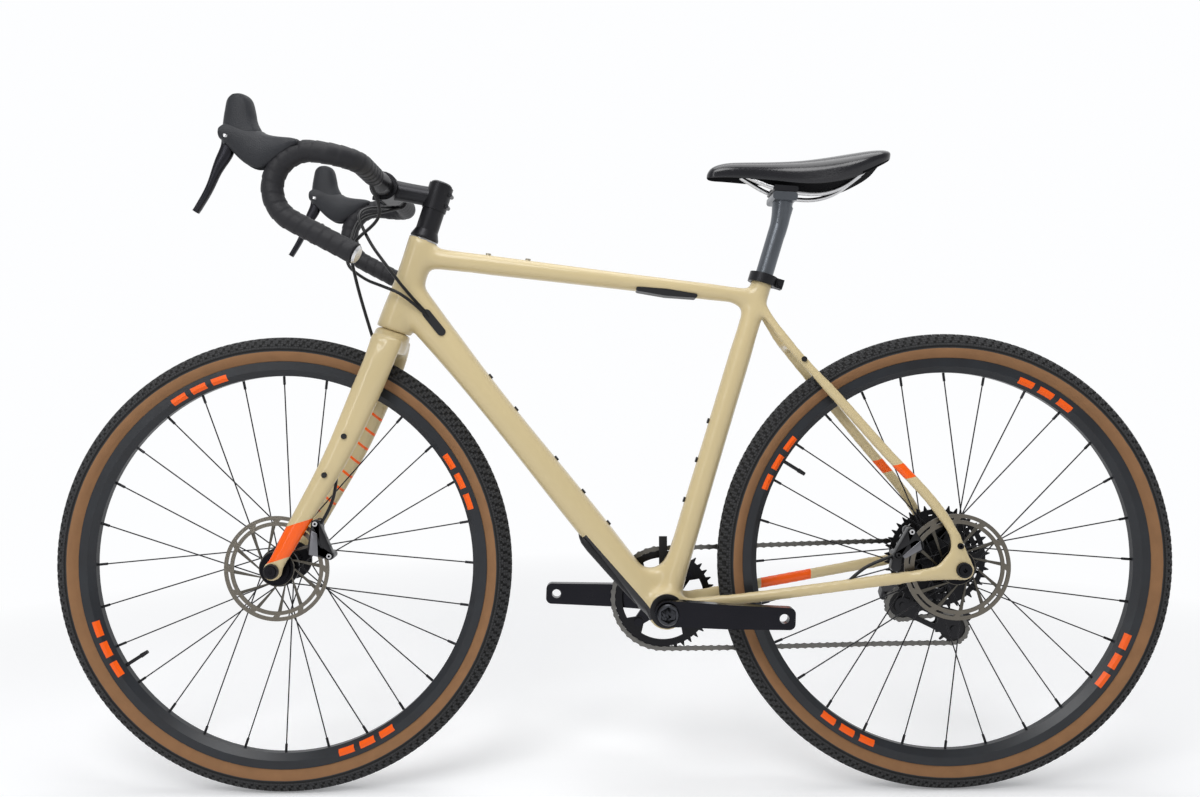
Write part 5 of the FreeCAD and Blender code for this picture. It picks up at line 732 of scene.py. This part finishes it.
def painted_frame():
    steer_up = Vector((-math.cos(STEER_ANGLE), 0, math.sin(STEER_ANGLE)))
    seat_up = Vector((-math.cos(SEAT_ANGLE), 0, math.sin(SEAT_ANGLE)))
    steer_ahead = Vector((math.sin(STEER_ANGLE), 0, math.cos(STEER_ANGLE)))
    steer_foot = FRONT_AXLE - steer_ahead * FORK_OFFSET
    # Bores: start, direction, radius and the limits along the direction
    bores = (
        (steer_foot, steer_up, 0.0208, 0.38, 0.57), (steer_foot, steer_up, 0.0237, 0.396, 0.4072),
        (CRANK_AXLE, seat_up, 0.0138, 0.2, 0.56), (CRANK_AXLE, ACROSS, 0.0223, -0.06, 0.06),
        (REAR_AXLE, ACROSS, 0.0064, -0.1, 0.1),
    )
    fork_bores = ((FRONT_AXLE, ACROSS, 0.0064, -0.1, 0.1),)
    blended("painted_frame", "frame", "frame", bores, frame_corners,
            sand_paint("frame_paint", frame_bands, tube_guard))
    blended("painted_fork", "fork", "fork", fork_bores, fork_corners,
            sand_paint("fork_paint", fork_bands))


# Chain

LINK_HALF = 0.00635
LINK_END = 0.0042
PLATE = 0.00075
PLATE_SIDE = 0.001525
WAIST, FLARE = 0.66, 0.34
ROLLER_RADIUS, ROLLER_LENGTH = 0.0037, 0.0023
PIN_RADIUS, PIN_LENGTH = 0.0018, 0.0056
THIN_LINK = 0.001


def link_plate(mesh, seat):
    """Chain plate with a narrow waist, drawn along X and centred on its thickness."""
    made = bmesh.ops.create_circle(mesh, segments=20, radius=1.0, cap_ends=True)["verts"]
    for vert in made:
        along = vert.co.x * (LINK_HALF + LINK_END)
        beyond = max(0.0, abs(along) - LINK_HALF)
        waist = WAIST + FLARE * min(1.0, abs(along) / LINK_HALF) ** 2
        height = LINK_END * waist
        if beyond > 0:
            height = math.sqrt(max(0.0, LINK_END ** 2 - beyond ** 2))
        height = math.copysign(height, vert.co.y) if abs(vert.co.y) > 1e-6 else 0
        vert.co = Vector((along, -PLATE / 2, height))
    raised = new_verts(bmesh.ops.extrude_face_region(mesh, geom=[made[0].link_faces[0]]))
    bmesh.ops.translate(mesh, verts=raised, vec=(0, PLATE, 0))
    bmesh.ops.transform(mesh, matrix=seat, verts=made + raised)


def link_barrel(mesh, seat, spot, radius, length):
    made = bmesh.ops.create_cone(mesh, segments=8, radius1=radius, radius2=radius, depth=length,
                                 cap_ends=True)
    turn = seat @ Matrix.Translation(spot) @ Matrix.Rotation(QUARTER, 4, "X")
    bmesh.ops.transform(mesh, matrix=turn, verts=made["verts"])


def link_islands():
    """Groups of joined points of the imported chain, one for each of its solids."""
    mesh = bmesh.new()
    mesh.from_mesh(nodes["chain"].data)
    bmesh.ops.remove_doubles(mesh, verts=mesh.verts, dist=1e-6)
    waiting = set(mesh.verts)
    islands = []
    while waiting:
        front = [waiting.pop()]
        group = list(front)
        while front:
            vert = front.pop()
            for edge in vert.link_edges:
                other = edge.other_vert(vert)
                if other in waiting:
                    waiting.remove(other)
                    front.append(other)
                    group.append(other)
        islands.append([vert.co.copy() for vert in group])
    mesh.free()
    return islands


def link_place(points):
    """Place of a link, with X along it and Y across it, and half its width."""
    middle = sum(points, Vector()) / len(points)
    rays = [point - middle for point in points]
    lead = max(rays, key=lambda ray: ray.length)
    lead = sum((ray * math.copysign(1, ray.dot(lead)) for ray in rays), Vector())
    along = lead.normalized()
    across = (ACROSS - along * along.y).normalized()
    turn = Matrix((along, across, along.cross(across))).transposed()
    half = max(abs(ray.dot(across)) for ray in rays)
    return Matrix.Translation(middle) @ turn.to_4x4(), half


def chain():
    mesh = bmesh.new()
    for points in link_islands():
        seat, half = link_place(points)
        if half < THIN_LINK:
            link_plate(mesh, seat)
            continue
        for side in (1, -1):
            link_plate(mesh, seat @ Matrix.Translation((0, side * PLATE_SIDE, 0)))
            spot = Vector((side * LINK_HALF, 0, 0))
            link_barrel(mesh, seat, spot, ROLLER_RADIUS, ROLLER_LENGTH)
            link_barrel(mesh, seat, spot, PIN_RADIUS, PIN_LENGTH)
    bmesh.ops.recalc_face_normals(mesh, faces=mesh.faces)
    steel = metal("chain_steel", (0.17, 0.165, 0.155), roughness=0.36, marks=200)
    piece = finished("roller_chain", mesh, steel)
    shade(piece.data, smooth=False)
    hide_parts("chain")
    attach(piece, "frame")


# Brake hoses and shift cable

HOSE_RADIUS = 0.0025

# Points along a hose, as shares of half the bar's width or of the rotor's radius
front_hose_shares = (
    (-0.012, -0.429, -0.069), (0.114, -0.262, -0.14), (0.229, -0.052, -0.214),
    (0.265, 0.079, -0.387), (0.245, 0.183, -0.57), (0.224, 0.199, -0.675), (0.166, 0.173, -0.937),
    (0.093, 0.12, -1.214),
)
shift_cable_shares = (
    (0.04, -0.429, -0.069), (0.276, 0, -0.12), (0.124, 0.131, -0.44), (-0.043, 0.183, -0.659),
    (-0.2, 0.173, -0.869), (-0.347, 0.126, -1.031),
)
rear_hose_shares = (
    (0.019, 0.429, -0.068), (-0.012, 0.33, -0.172), (-0.012, 0.27, -0.262), (0.055, 0.209, -0.335),
    (0.25, 0.045, -0.424), (0.355, 0, -0.605), (0.16, 0.09, -0.752), (0.009, 0.173, -0.811),
    (-0.2, 0.204, -0.895), (-0.394, 0.115, -1.094),
)
front_lower_shares = (
    (-1.125, 0.55, 2.01), (-1.175, 0.525, 1.825), (-1.075, 0.525, 1.19), (-0.85, 0.54, 0.85),
)
rear_lower_shares = (
    (2.05, 0.725, -0.25), (1.85, 0.725, -0.06), (1.575, 0.74, 0.1), (1.2, 0.76, 0.24),
)


def smooth_line(name, points, thickness):
    """Mesh of one smooth line led by its points: a tube, or a bare line without thickness."""
    data = bpy.data.curves.new(name, "CURVE")
    data.dimensions = "3D"
    data.resolution_u = 10
    data.bevel_depth = thickness
    data.bevel_resolution = 3
    data.use_fill_caps = True
    spline = data.splines.new("NURBS")
    spline.points.add(len(points) - 1)
    for spot, point in zip(spline.points, points):
        spot.co = (*point, 1)
    spline.order_u = 3
    spline.use_endpoint_u = True
    item = linked(name, data)
    graph = bpy.context.evaluated_depsgraph_get()
    mesh = bpy.data.meshes.new_from_object(item.evaluated_get(graph))
    bpy.data.objects.remove(item)
    return mesh


def hose(name, node, origin, reach, shares, material, bodies):
    """Hose along its route; it rides on its one body, or is left fixed in place where it runs
    between two bodies across the steering.
    """
    route = [origin + Vector(share) * reach for share in shares]
    path = [vert.co.copy() for vert in smooth_line(name + "_line", route, 0.0).vertices]
    data = smooth_line(name, route, HOSE_RADIUS)
    data.materials.append(material)
    shade(data)
    piece = linked(name, data)
    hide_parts(node)
    if len(bodies) == 1:
        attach(piece, bodies[0])
    else:
        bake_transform(piece)


def hoses():
    cover = plastic("hose_cover", (0.008, 0.008, 0.009), roughness=0.34)
    steered, fixed, crossing = ["fork"], ["frame"], ["fork", "frame"]
    for name, node, origin, reach, shares, bodies in (
            ("front_hose", "front_brake_hose", BAR_CENTRE, HALF_BAR, front_hose_shares, steered),
            ("front_hose_end", "front_brake_hose", FRONT_AXLE, ROTOR, front_lower_shares, steered),
            ("shift_cable", "control_cables", BAR_CENTRE, HALF_BAR, shift_cable_shares, crossing),
            ("rear_hose", "control_cables", BAR_CENTRE, HALF_BAR, rear_hose_shares, crossing),
            ("rear_hose_end", "control_cables", REAR_AXLE, ROTOR, rear_lower_shares, fixed)):
        hose(name, node, origin, reach, shares, cover, bodies)


# Brake calipers, caps and pins

# Places of a caliper's bolts, body, foot and panel, ahead of and above its axle
front_caliper_bolts = ((-0.0634, 0.0697), (-0.0844, 0.021))
front_caliper_body = (-0.0615, 0.032)
front_caliper_panel = (
    (-0.0575, 0.06), (-0.0664, 0.055), (-0.0678, 0.02), (-0.0535, 0.0235),
)
rear_caliper_bolts = ((0.0735, 0.0554), (0.0935, 0.021))
rear_caliper_body = (0.0655, 0.034)
rear_caliper_foot = (0.0965, 0.003)
rear_caliper_panel = (
    (0.0878, 0.0196), (0.0705, 0.034), (0.0606, 0.0425), (0.0585, 0.0291), (0.0835, 0.0155),
)

# A caliper across the bike, measured from the rotor: half its slot, and its inner and outer side
ROTOR_SLOT = 0.0018
CALIPER_INNER = 0.0105
CALIPER_OUTER = 0.0145
CALIPER_EDGE = 0.0011
PANEL_SUNK = 0.006
PANEL_DEPTH = 0.0078
PANEL_EDGE = 0.0008
FRONT_ROTOR_SIDE = 0.0398
REAR_ROTOR_SIDE = 0.0558

# Radii of the ends of a caliper's limbs
EYE, NECK, CHEEK, CHIN, LUG, FOOT = 0.0062, 0.0058, 0.0105, 0.0095, 0.0056, 0.0075

# Bolt heads as radius, height and socket
CALIPER_BOLT = (0.0042, 0.0032, 0.002)
BOLT_SUNK = 0.0002
HEAD_TAPER = 0.9
SOCKET_DEPTH = 0.8
CRANK_RING = (0.0164, 0.0024, 0.0125)
CRANK_BOLT = (0.0118, 0.0022, 0.0052)
AXLE_CAP = (0.0092, 0.0022, 0.0036)
DROPOUT_BOLT = (0.0048, 0.0024, 0.0021)

# Pins of the brake levers, ahead and above, with radius, length and rounding
LEVER_PIN_X, LEVER_PIN_Z = 0.5205, 0.965
LEVER_PIN_RADIUS = 0.0034
LEVER_PIN_LENGTH = 0.0335
LEVER_PIN_EDGE = 0.0006

FLAT = math.radians(4)
CORNER = math.radians(50)
CREASE = math.radians(35)


def limb(mesh, axle, first, second, radii, low, high):
    """Solid limb between two round ends, with its flat sides across the bike."""
    made = []
    for (ahead, above), radius in zip((first, second), radii):
        for side in (low, high):
            ring = bmesh.ops.create_circle(mesh, segments=18, radius=radius)["verts"]
            shift = Matrix.Translation((axle.x + ahead, side, axle.z + above))
            turn = shift @ Matrix.Rotation(QUARTER, 4, "X")
            bmesh.ops.transform(mesh, matrix=turn, verts=ring)
            made += ring
    hull = bmesh.ops.convex_hull(mesh, input=made)
    bmesh.ops.delete(mesh, geom=hull["geom_interior"], context="VERTS")


def softened(mesh, width):
    """Rounds the sharp edges of a mesh."""
    bmesh.ops.dissolve_limit(mesh, angle_limit=FLAT, verts=mesh.verts, edges=mesh.edges)
    bmesh.ops.recalc_face_normals(mesh, faces=mesh.faces)
    sharp = [edge for edge in mesh.edges if edge.calc_face_angle(0) > CORNER]
    bmesh.ops.bevel(mesh, geom=sharp, offset=width, offset_type="OFFSET", affect="EDGES",
                    segments=3, profile=0.5, material=-1)


def socket_head(mesh, centre, radius, height, socket):
    """Round bolt head that faces left, with a six-sided socket."""
    made = bmesh.ops.create_cone(mesh, cap_ends=True, segments=28, radius1=radius,
                                 radius2=radius * HEAD_TAPER, depth=height)["verts"]
    faces = {face for vert in made for face in vert.link_faces}
    top = max(faces, key=lambda face: face.calc_center_median().z)
    rim = list(top.edges)
    bmesh.ops.delete(mesh, geom=[top], context="FACES_ONLY")
    socket_rim = bmesh.ops.create_circle(mesh, segments=6, radius=socket)["verts"]
    bmesh.ops.translate(mesh, verts=socket_rim, vec=(0, 0, height / 2))
    sides = list({edge for vert in socket_rim for edge in vert.link_edges})
    bmesh.ops.bridge_loops(mesh, edges=rim + sides)
    grown = bmesh.ops.extrude_edge_only(mesh, edges=sides)
    deep = new_verts(grown)
    bmesh.ops.translate(mesh, verts=deep, vec=(0, 0, -SOCKET_DEPTH * height))
    bmesh.ops.holes_fill(mesh, edges=edges_among(grown, deep), sides=0)
    shift = Matrix.Translation(Vector(centre) + Vector((0, height / 2, 0)))
    turn = shift @ Matrix.Rotation(-QUARTER, 4, "X")
    bmesh.ops.transform(mesh, matrix=turn, verts=made + socket_rim + deep)


def fitted(name, mesh, body, material):
    """Piece with crisp edges that rides on a body."""
    bmesh.ops.recalc_face_normals(mesh, faces=mesh.faces)
    for edge in mesh.edges:
        edge.smooth = edge.calc_face_angle(0) < CREASE
    piece = finished(name, mesh, material)
    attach(piece, body)
    return piece


def caliper(name, node, body, axle, rotor_side, bolts, middle, corners, foot, finishes):
    """Brake body of two halves that meet past the rotor's edge, with a panel and bolts."""
    black, grey, *bolt_finishes = finishes
    upper, lower = bolts
    inner, outer = rotor_side - CALIPER_INNER, rotor_side + CALIPER_OUTER
    outer_half, inner_half = (rotor_side + ROTOR_SLOT, outer), (inner, rotor_side - ROTOR_SLOT)
    mesh = bmesh.new()
    limb(mesh, axle, upper, middle, (EYE, CHEEK), *outer_half)
    limb(mesh, axle, upper, lower, (NECK, NECK), *outer_half)
    limb(mesh, axle, middle, lower, (CHIN, EYE), *outer_half)
    limb(mesh, axle, middle, upper, (CHEEK, EYE), *inner_half)
    limb(mesh, axle, lower, foot, (NECK, FOOT), *outer_half)
    for bolt in bolts:
        limb(mesh, axle, bolt, bolt, (LUG, LUG), inner, outer)
    softened(mesh, CALIPER_EDGE)
    piece = fitted(name + "_body", mesh, body, black)
    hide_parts(node)
    mesh = bmesh.new()
    face = mesh.faces.new([mesh.verts.new((axle.x + ahead, outer - PANEL_SUNK, axle.z + above))
                           for ahead, above in corners])
    raised = new_verts(bmesh.ops.extrude_face_region(mesh, geom=[face]))
    bmesh.ops.translate(mesh, verts=raised, vec=(0, PANEL_DEPTH, 0))
    softened(mesh, PANEL_EDGE)
    fitted(name + "_panel", mesh, body, grey)
    endings = ("_upper_bolt", "_lower_bolt")
    for (ahead, above), ending, finish in zip(bolts, endings, bolt_finishes):
        mesh = bmesh.new()
        seat = (axle.x + ahead, outer - BOLT_SUNK, axle.z + above)
        socket_head(mesh, seat, *CALIPER_BOLT)
        fitted(name + ending, mesh, body, finish)


def brakes():
    black = metal("caliper_black", (0.014, 0.014, 0.016), 0.3, marks=50, grain=600, metallic=0.5)
    grey = metal("caliper_grey", (0.2, 0.2, 0.215), roughness=0.32)
    steel = metal("caliper_bolt", (0.62, 0.62, 0.63), roughness=0.24)
    caliper("front_brake", "front_caliper", "fork", FRONT_AXLE, FRONT_ROTOR_SIDE,
            front_caliper_bolts, front_caliper_body, front_caliper_panel, front_caliper_body,
            (black, grey, steel, steel))
    caliper("rear_brake", "rear_caliper", "frame", REAR_AXLE, REAR_ROTOR_SIDE,
            rear_caliper_bolts, rear_caliper_body, rear_caliper_panel, rear_caliper_foot,
            (black, grey, steel, black))


def caps():
    """Socketed caps on the crank and on both axles, and the bolt on the left dropout."""
    black = metal("cap_black", (0.02, 0.02, 0.023), roughness=0.28)
    alloy = metal("crank_cap_alloy", (0.06, 0.062, 0.07), roughness=0.28)
    crank_heads = (((0, 0.0695, 0), CRANK_RING), ((0, 0.0697, 0), CRANK_BOLT))
    front_heads = (((0, 0.0665, 0), AXLE_CAP),)
    rear_heads = (((0, 0.0835, 0), AXLE_CAP), ((0.0045, 0.0795, 0.0352), DROPOUT_BOLT))
    for name, body, slot, finish, axle, heads in (
            ("crank_cap", "crankset", "crank_alloy", alloy, CRANK_AXLE, crank_heads),
            ("front_axle_cap", "fork", "black_alloy", black, FRONT_AXLE, front_heads),
            ("rear_axle_cap", "frame", "black_alloy", black, REAR_AXLE, rear_heads)):
        mesh = bmesh.new()
        for offset, sizes in heads:
            socket_head(mesh, axle + Vector(offset), *sizes)
        fitted(name, mesh, body, finish)


def lever_pins(material):
    """Pins that the brake levers turn on, through both hoods."""
    for name, side in (("left_lever_pin", 1), ("right_lever_pin", -1)):
        mesh = bmesh.new()
        shift = Matrix.Translation((LEVER_PIN_X, side * HALF_BAR, LEVER_PIN_Z))
        bmesh.ops.create_cone(mesh, cap_ends=True, segments=28, radius1=LEVER_PIN_RADIUS,
                              radius2=LEVER_PIN_RADIUS, depth=LEVER_PIN_LENGTH,
                              matrix=shift @ Matrix.Rotation(QUARTER, 4, "X"))
        softened(mesh, LEVER_PIN_EDGE)
        fitted(name, mesh, "fork", material)


# Guard under the down tube

GUARD_LENGTH = 0.163
GUARD_HALF_WIDTH = 0.0215
GUARD_HALF_DEPTH = 0.0085
GUARD_SIDES = 32
GUARD_SQUARENESS = 0.7

# Sections of the guard, as shares of its length, width and depth
guard_shares = (
    (-0.02, 0.3, 0.15), (0.01, 0.7, 0.5), (0.06, 0.95, 0.85), (0.15, 1, 1), (0.45, 1, 1),
    (0.75, 1, 0.9), (0.92, 0.95, 0.75), (1, 0.7, 0.4),
)


def squared(value):
    return math.copysign(abs(value) ** GUARD_SQUARENESS, value)


def tube_shield(material):
    """Moulded guard that stands proud of the down tube's underside."""
    rings = []
    for share, width_share, depth_share in guard_shares:
        centre = GUARD_TOP + GUARD_WAY * (GUARD_LENGTH * share)
        ring = []
        for step in range(GUARD_SIDES):
            angle = math.tau * step / GUARD_SIDES
            wide = squared(math.cos(angle)) * GUARD_HALF_WIDTH * width_share
            deep = squared(math.sin(angle)) * GUARD_HALF_DEPTH * depth_share
            ring.append(centre + ACROSS * wide + GUARD_IN * deep)
        rings.append(ring)
    piece = skinned("down_tube_shield", rings, material)
    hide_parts("down_tube_guard")
    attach(piece, "frame")


# Saddle

SADDLE_NOSE = -0.147
SADDLE_LENGTH = 0.276
SADDLE_WIDTH = 0.143
SADDLE_TOP = 0.977
SADDLE_RISE = 0.013
SADDLE_DEPTH = 0.038
CHANNEL_DEPTH = 0.0022
CHANNEL_MIDDLE = 0.55
CHANNEL_REACH = 0.42
CHANNEL_SIDE = (0.12, 0.55)
UNDERSIDE = 0.72
FACING_DOWN = -0.5

# Sections from the nose to the tail, as shares of the length, width, rise and depth
saddle_shares = (
    (0, 0.03, -1.5, 0.1), (0.006, 0.1, -1.15, 0.26), (0.02, 0.165, -0.72, 0.43),
    (0.045, 0.205, -0.4, 0.56), (0.09, 0.24, -0.12, 0.66), (0.15, 0.27, 0, 0.73),
    (0.23, 0.29, 0, 0.78), (0.32, 0.315, 0, 0.83), (0.41, 0.37, 0.02, 0.95),
    (0.5, 0.46, 0.08, 1.08), (0.58, 0.58, 0.2, 1.2), (0.66, 0.72, 0.37, 1.27),
    (0.74, 0.87, 0.56, 1.28), (0.82, 0.97, 0.75, 1.18), (0.88, 0.99, 0.85, 1),
    (0.93, 0.96, 0.87, 0.82), (0.97, 0.86, 0.76, 0.6), (0.99, 0.7, 0.52, 0.36),
)

# Half a section from the shoulder's inner edge to the underside, as shares of half width and depth
shoulder_shares = (
    (0.28, 0.03), (0.5, 0.08), (0.7, 0.16), (0.84, 0.26), (0.94, 0.38), (0.99, 0.5), (1, 0.6),
    (0.985, 0.76), (0.955, 0.9), (0.915, 1), (0.82, 0.95), (0.35, 0.74),
)


def saddle_ring(along, width_share, rise_share, depth_share):
    """Section of the cushion: a crown, rounded shoulders and sides that draw in below."""
    x = SADDLE_NOSE - SADDLE_LENGTH * along
    half = SADDLE_WIDTH * width_share / 2
    top = SADDLE_TOP + SADDLE_RISE * rise_share
    depth = SADDLE_DEPTH * depth_share
    channel = CHANNEL_DEPTH * max(0.0, 1 - abs(along - CHANNEL_MIDDLE) / CHANNEL_REACH)
    side_out, side_share = CHANNEL_SIDE
    crown = ((0, channel / depth), (side_out, channel / depth * side_share))
    outline = crown + shoulder_shares
    left = [Vector((x, half * out, top - depth * down)) for out, down in outline]
    low = [Vector((x, 0, top - depth * UNDERSIDE))]
    right = [Vector((x, -half * out, top - depth * down)) for out, down in reversed(outline[1:])]
    return left + low + right


def saddle(cover, base):
    rings = [saddle_ring(*shares) for shares in saddle_shares]
    piece = skinned("saddle_cushion", rings, cover, base)
    for face in piece.data.polygons:
        if face.normal.z < FACING_DOWN:
            face.material_index = 1
    rounded = piece.modifiers.new("rounded", "SUBSURF")
    rounded.levels = 2
    rounded.render_levels = 2
    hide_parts("saddle_cover")
    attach(piece, "seatpost")


# Studio

FLOOR_SIZE = 9.0
FLOOR_FADE = (0.9, 2.2)
FLOOR_LIFT = 0.22

# Light of the room: everywhere, more of it in the backdrop, and less of that on the left
ROOM_LIGHT = 0.34
BACKDROP_LIGHT = 0.66
DARK_SIDE = (-0.35, 0.45)
DARK_SIDE_LIGHT = -0.56

# Lamps: name, place, target, size and power
lamps = (
    ("key", (0.7, 2.0, 2.6), (0, 0, 0.5), (1.6, 1.6), 42),
    ("overhead", (-0.2, 0.1, 3.0), (0, 0, 0.4), (2.2, 2.2), 36),
    ("strip", (1.5, 2.1, 1.1), (0, 0, 0.6), (0.2, 1.8), 6),
)


def floor():
    """Pale floor under the bike that fades to plain white further out."""
    mesh = bmesh.new()
    bmesh.ops.create_grid(mesh, x_segments=1, y_segments=1, size=FLOOR_SIZE)
    material = bpy.data.materials.new("pale_floor")
    material.use_nodes = True
    tree = material.node_tree
    tree.nodes.clear()
    matt = put(tree, "ShaderNodeBsdfDiffuse", {"Color": (0.9, 0.905, 0.915, 1)})
    white = put(tree, "ShaderNodeEmission", {"Color": STUDIO_WHITE, "Strength": 1.0})
    x, y, _ = axes(tree, place(tree))
    share = ramp(tree, hypotenuse(tree, x, y), *FLOOR_FADE)
    path = put(tree, "ShaderNodeLightPath").outputs
    seen = either(tree, path["Is Camera Ray"], path["Is Glossy Ray"])
    lift = put(tree, "ShaderNodeEmission", {
        "Color": (0.97, 0.98, 1, 1), "Strength": calc(tree, "MULTIPLY", seen, FLOOR_LIFT)})
    lit = put(tree, "ShaderNodeAddShader", {0: matt.outputs[0], 1: lift.outputs[0]})
    mix = put(tree, "ShaderNodeMixShader", {0: share, 1: lit.outputs[0], 2: white.outputs[0]})
    put(tree, "ShaderNodeOutputMaterial", {0: mix.outputs[0]})
    piece = finished("studio_floor", mesh, material)


def soft_lamp(name, location, target, size, power):
    lamp = bpy.data.lights.new(name, "AREA")
    lamp.shape = "ELLIPSE"
    lamp.size, lamp.size_y = size
    lamp.energy = power
    item = linked(name, lamp)
    item.location = location
    aim = Vector(target) - Vector(location)
    item.rotation_euler = aim.to_track_quat("-Z", "Y").to_euler()


def surroundings():
    """White room whose left side is darker in reflections."""
    world = bpy.data.worlds.new("studio")
    bpy.context.scene.world = world
    world.use_nodes = True
    tree = world.node_tree
    background = tree.nodes["Background"]
    background.inputs["Color"].default_value = STUDIO_WHITE
    path = put(tree, "ShaderNodeLightPath").outputs
    seen = either(tree, path["Is Camera Ray"], path["Is Transmission Ray"])
    left = axes(tree, put(tree, "ShaderNodeTexCoord").outputs["Generated"])["Y"]
    dark = ramp(tree, left, *DARK_SIDE)
    backdrop = calc(tree, "MULTIPLY_ADD", dark, DARK_SIDE_LIGHT, BACKDROP_LIGHT)
    mirrored = calc(tree, "MULTIPLY", path["Is Glossy Ray"], backdrop)
    brighter = either(tree, calc(tree, "MULTIPLY", seen, BACKDROP_LIGHT), mirrored)
    feed(tree, background.inputs["Strength"], calc(tree, "ADD", brighter, ROOM_LIGHT))


def camera():
    eye = bpy.data.cameras.new("photo_camera")
    eye.sensor_fit = "HORIZONTAL"
    eye.sensor_width = 36.0
    eye.lens = 27.45
    item = linked("photo_camera", eye)
    item.location = (0.0215, 1.43, 0.6099)
    item.rotation_euler = (math.radians(90), math.radians(0.3), math.radians(180))
    bpy.context.scene.camera = item


dress_bike()
painted_frame()
tyre("front_tyre_tread", "front_tyre", FRONT_AXLE, "front_wheel")
tyre("rear_tyre_tread", "rear_tyre", REAR_AXLE, "rear_wheel")
chain()
hoses()
brakes()
caps()
lever_pins(metal("pin_steel", (0.6, 0.6, 0.61), roughness=0.25))
tube_shield(plastic("shield_plastic", (0.012, 0.012, 0.014), roughness=0.5))
matt_base = plastic("saddle_base", (0.007, 0.007, 0.008), roughness=0.85, shine=0.04)
dress(["saddle_shell"], matt_base)
tape_foam = rubber("tape_foam", (0.01, 0.01, 0.012), roughness=0.55, scale=700, height=0.0004)
bar_tape("left_bar_tape", 1, tape_foam)
bar_tape("right_bar_tape", -1, tape_foam)
saddle(leather("saddle_leather"), matt_base)
floor()
surroundings()
for lamp in lamps:
    soft_lamp(*lamp)
camera()
bpy.context.scene.view_settings.view_transform = "Standard"
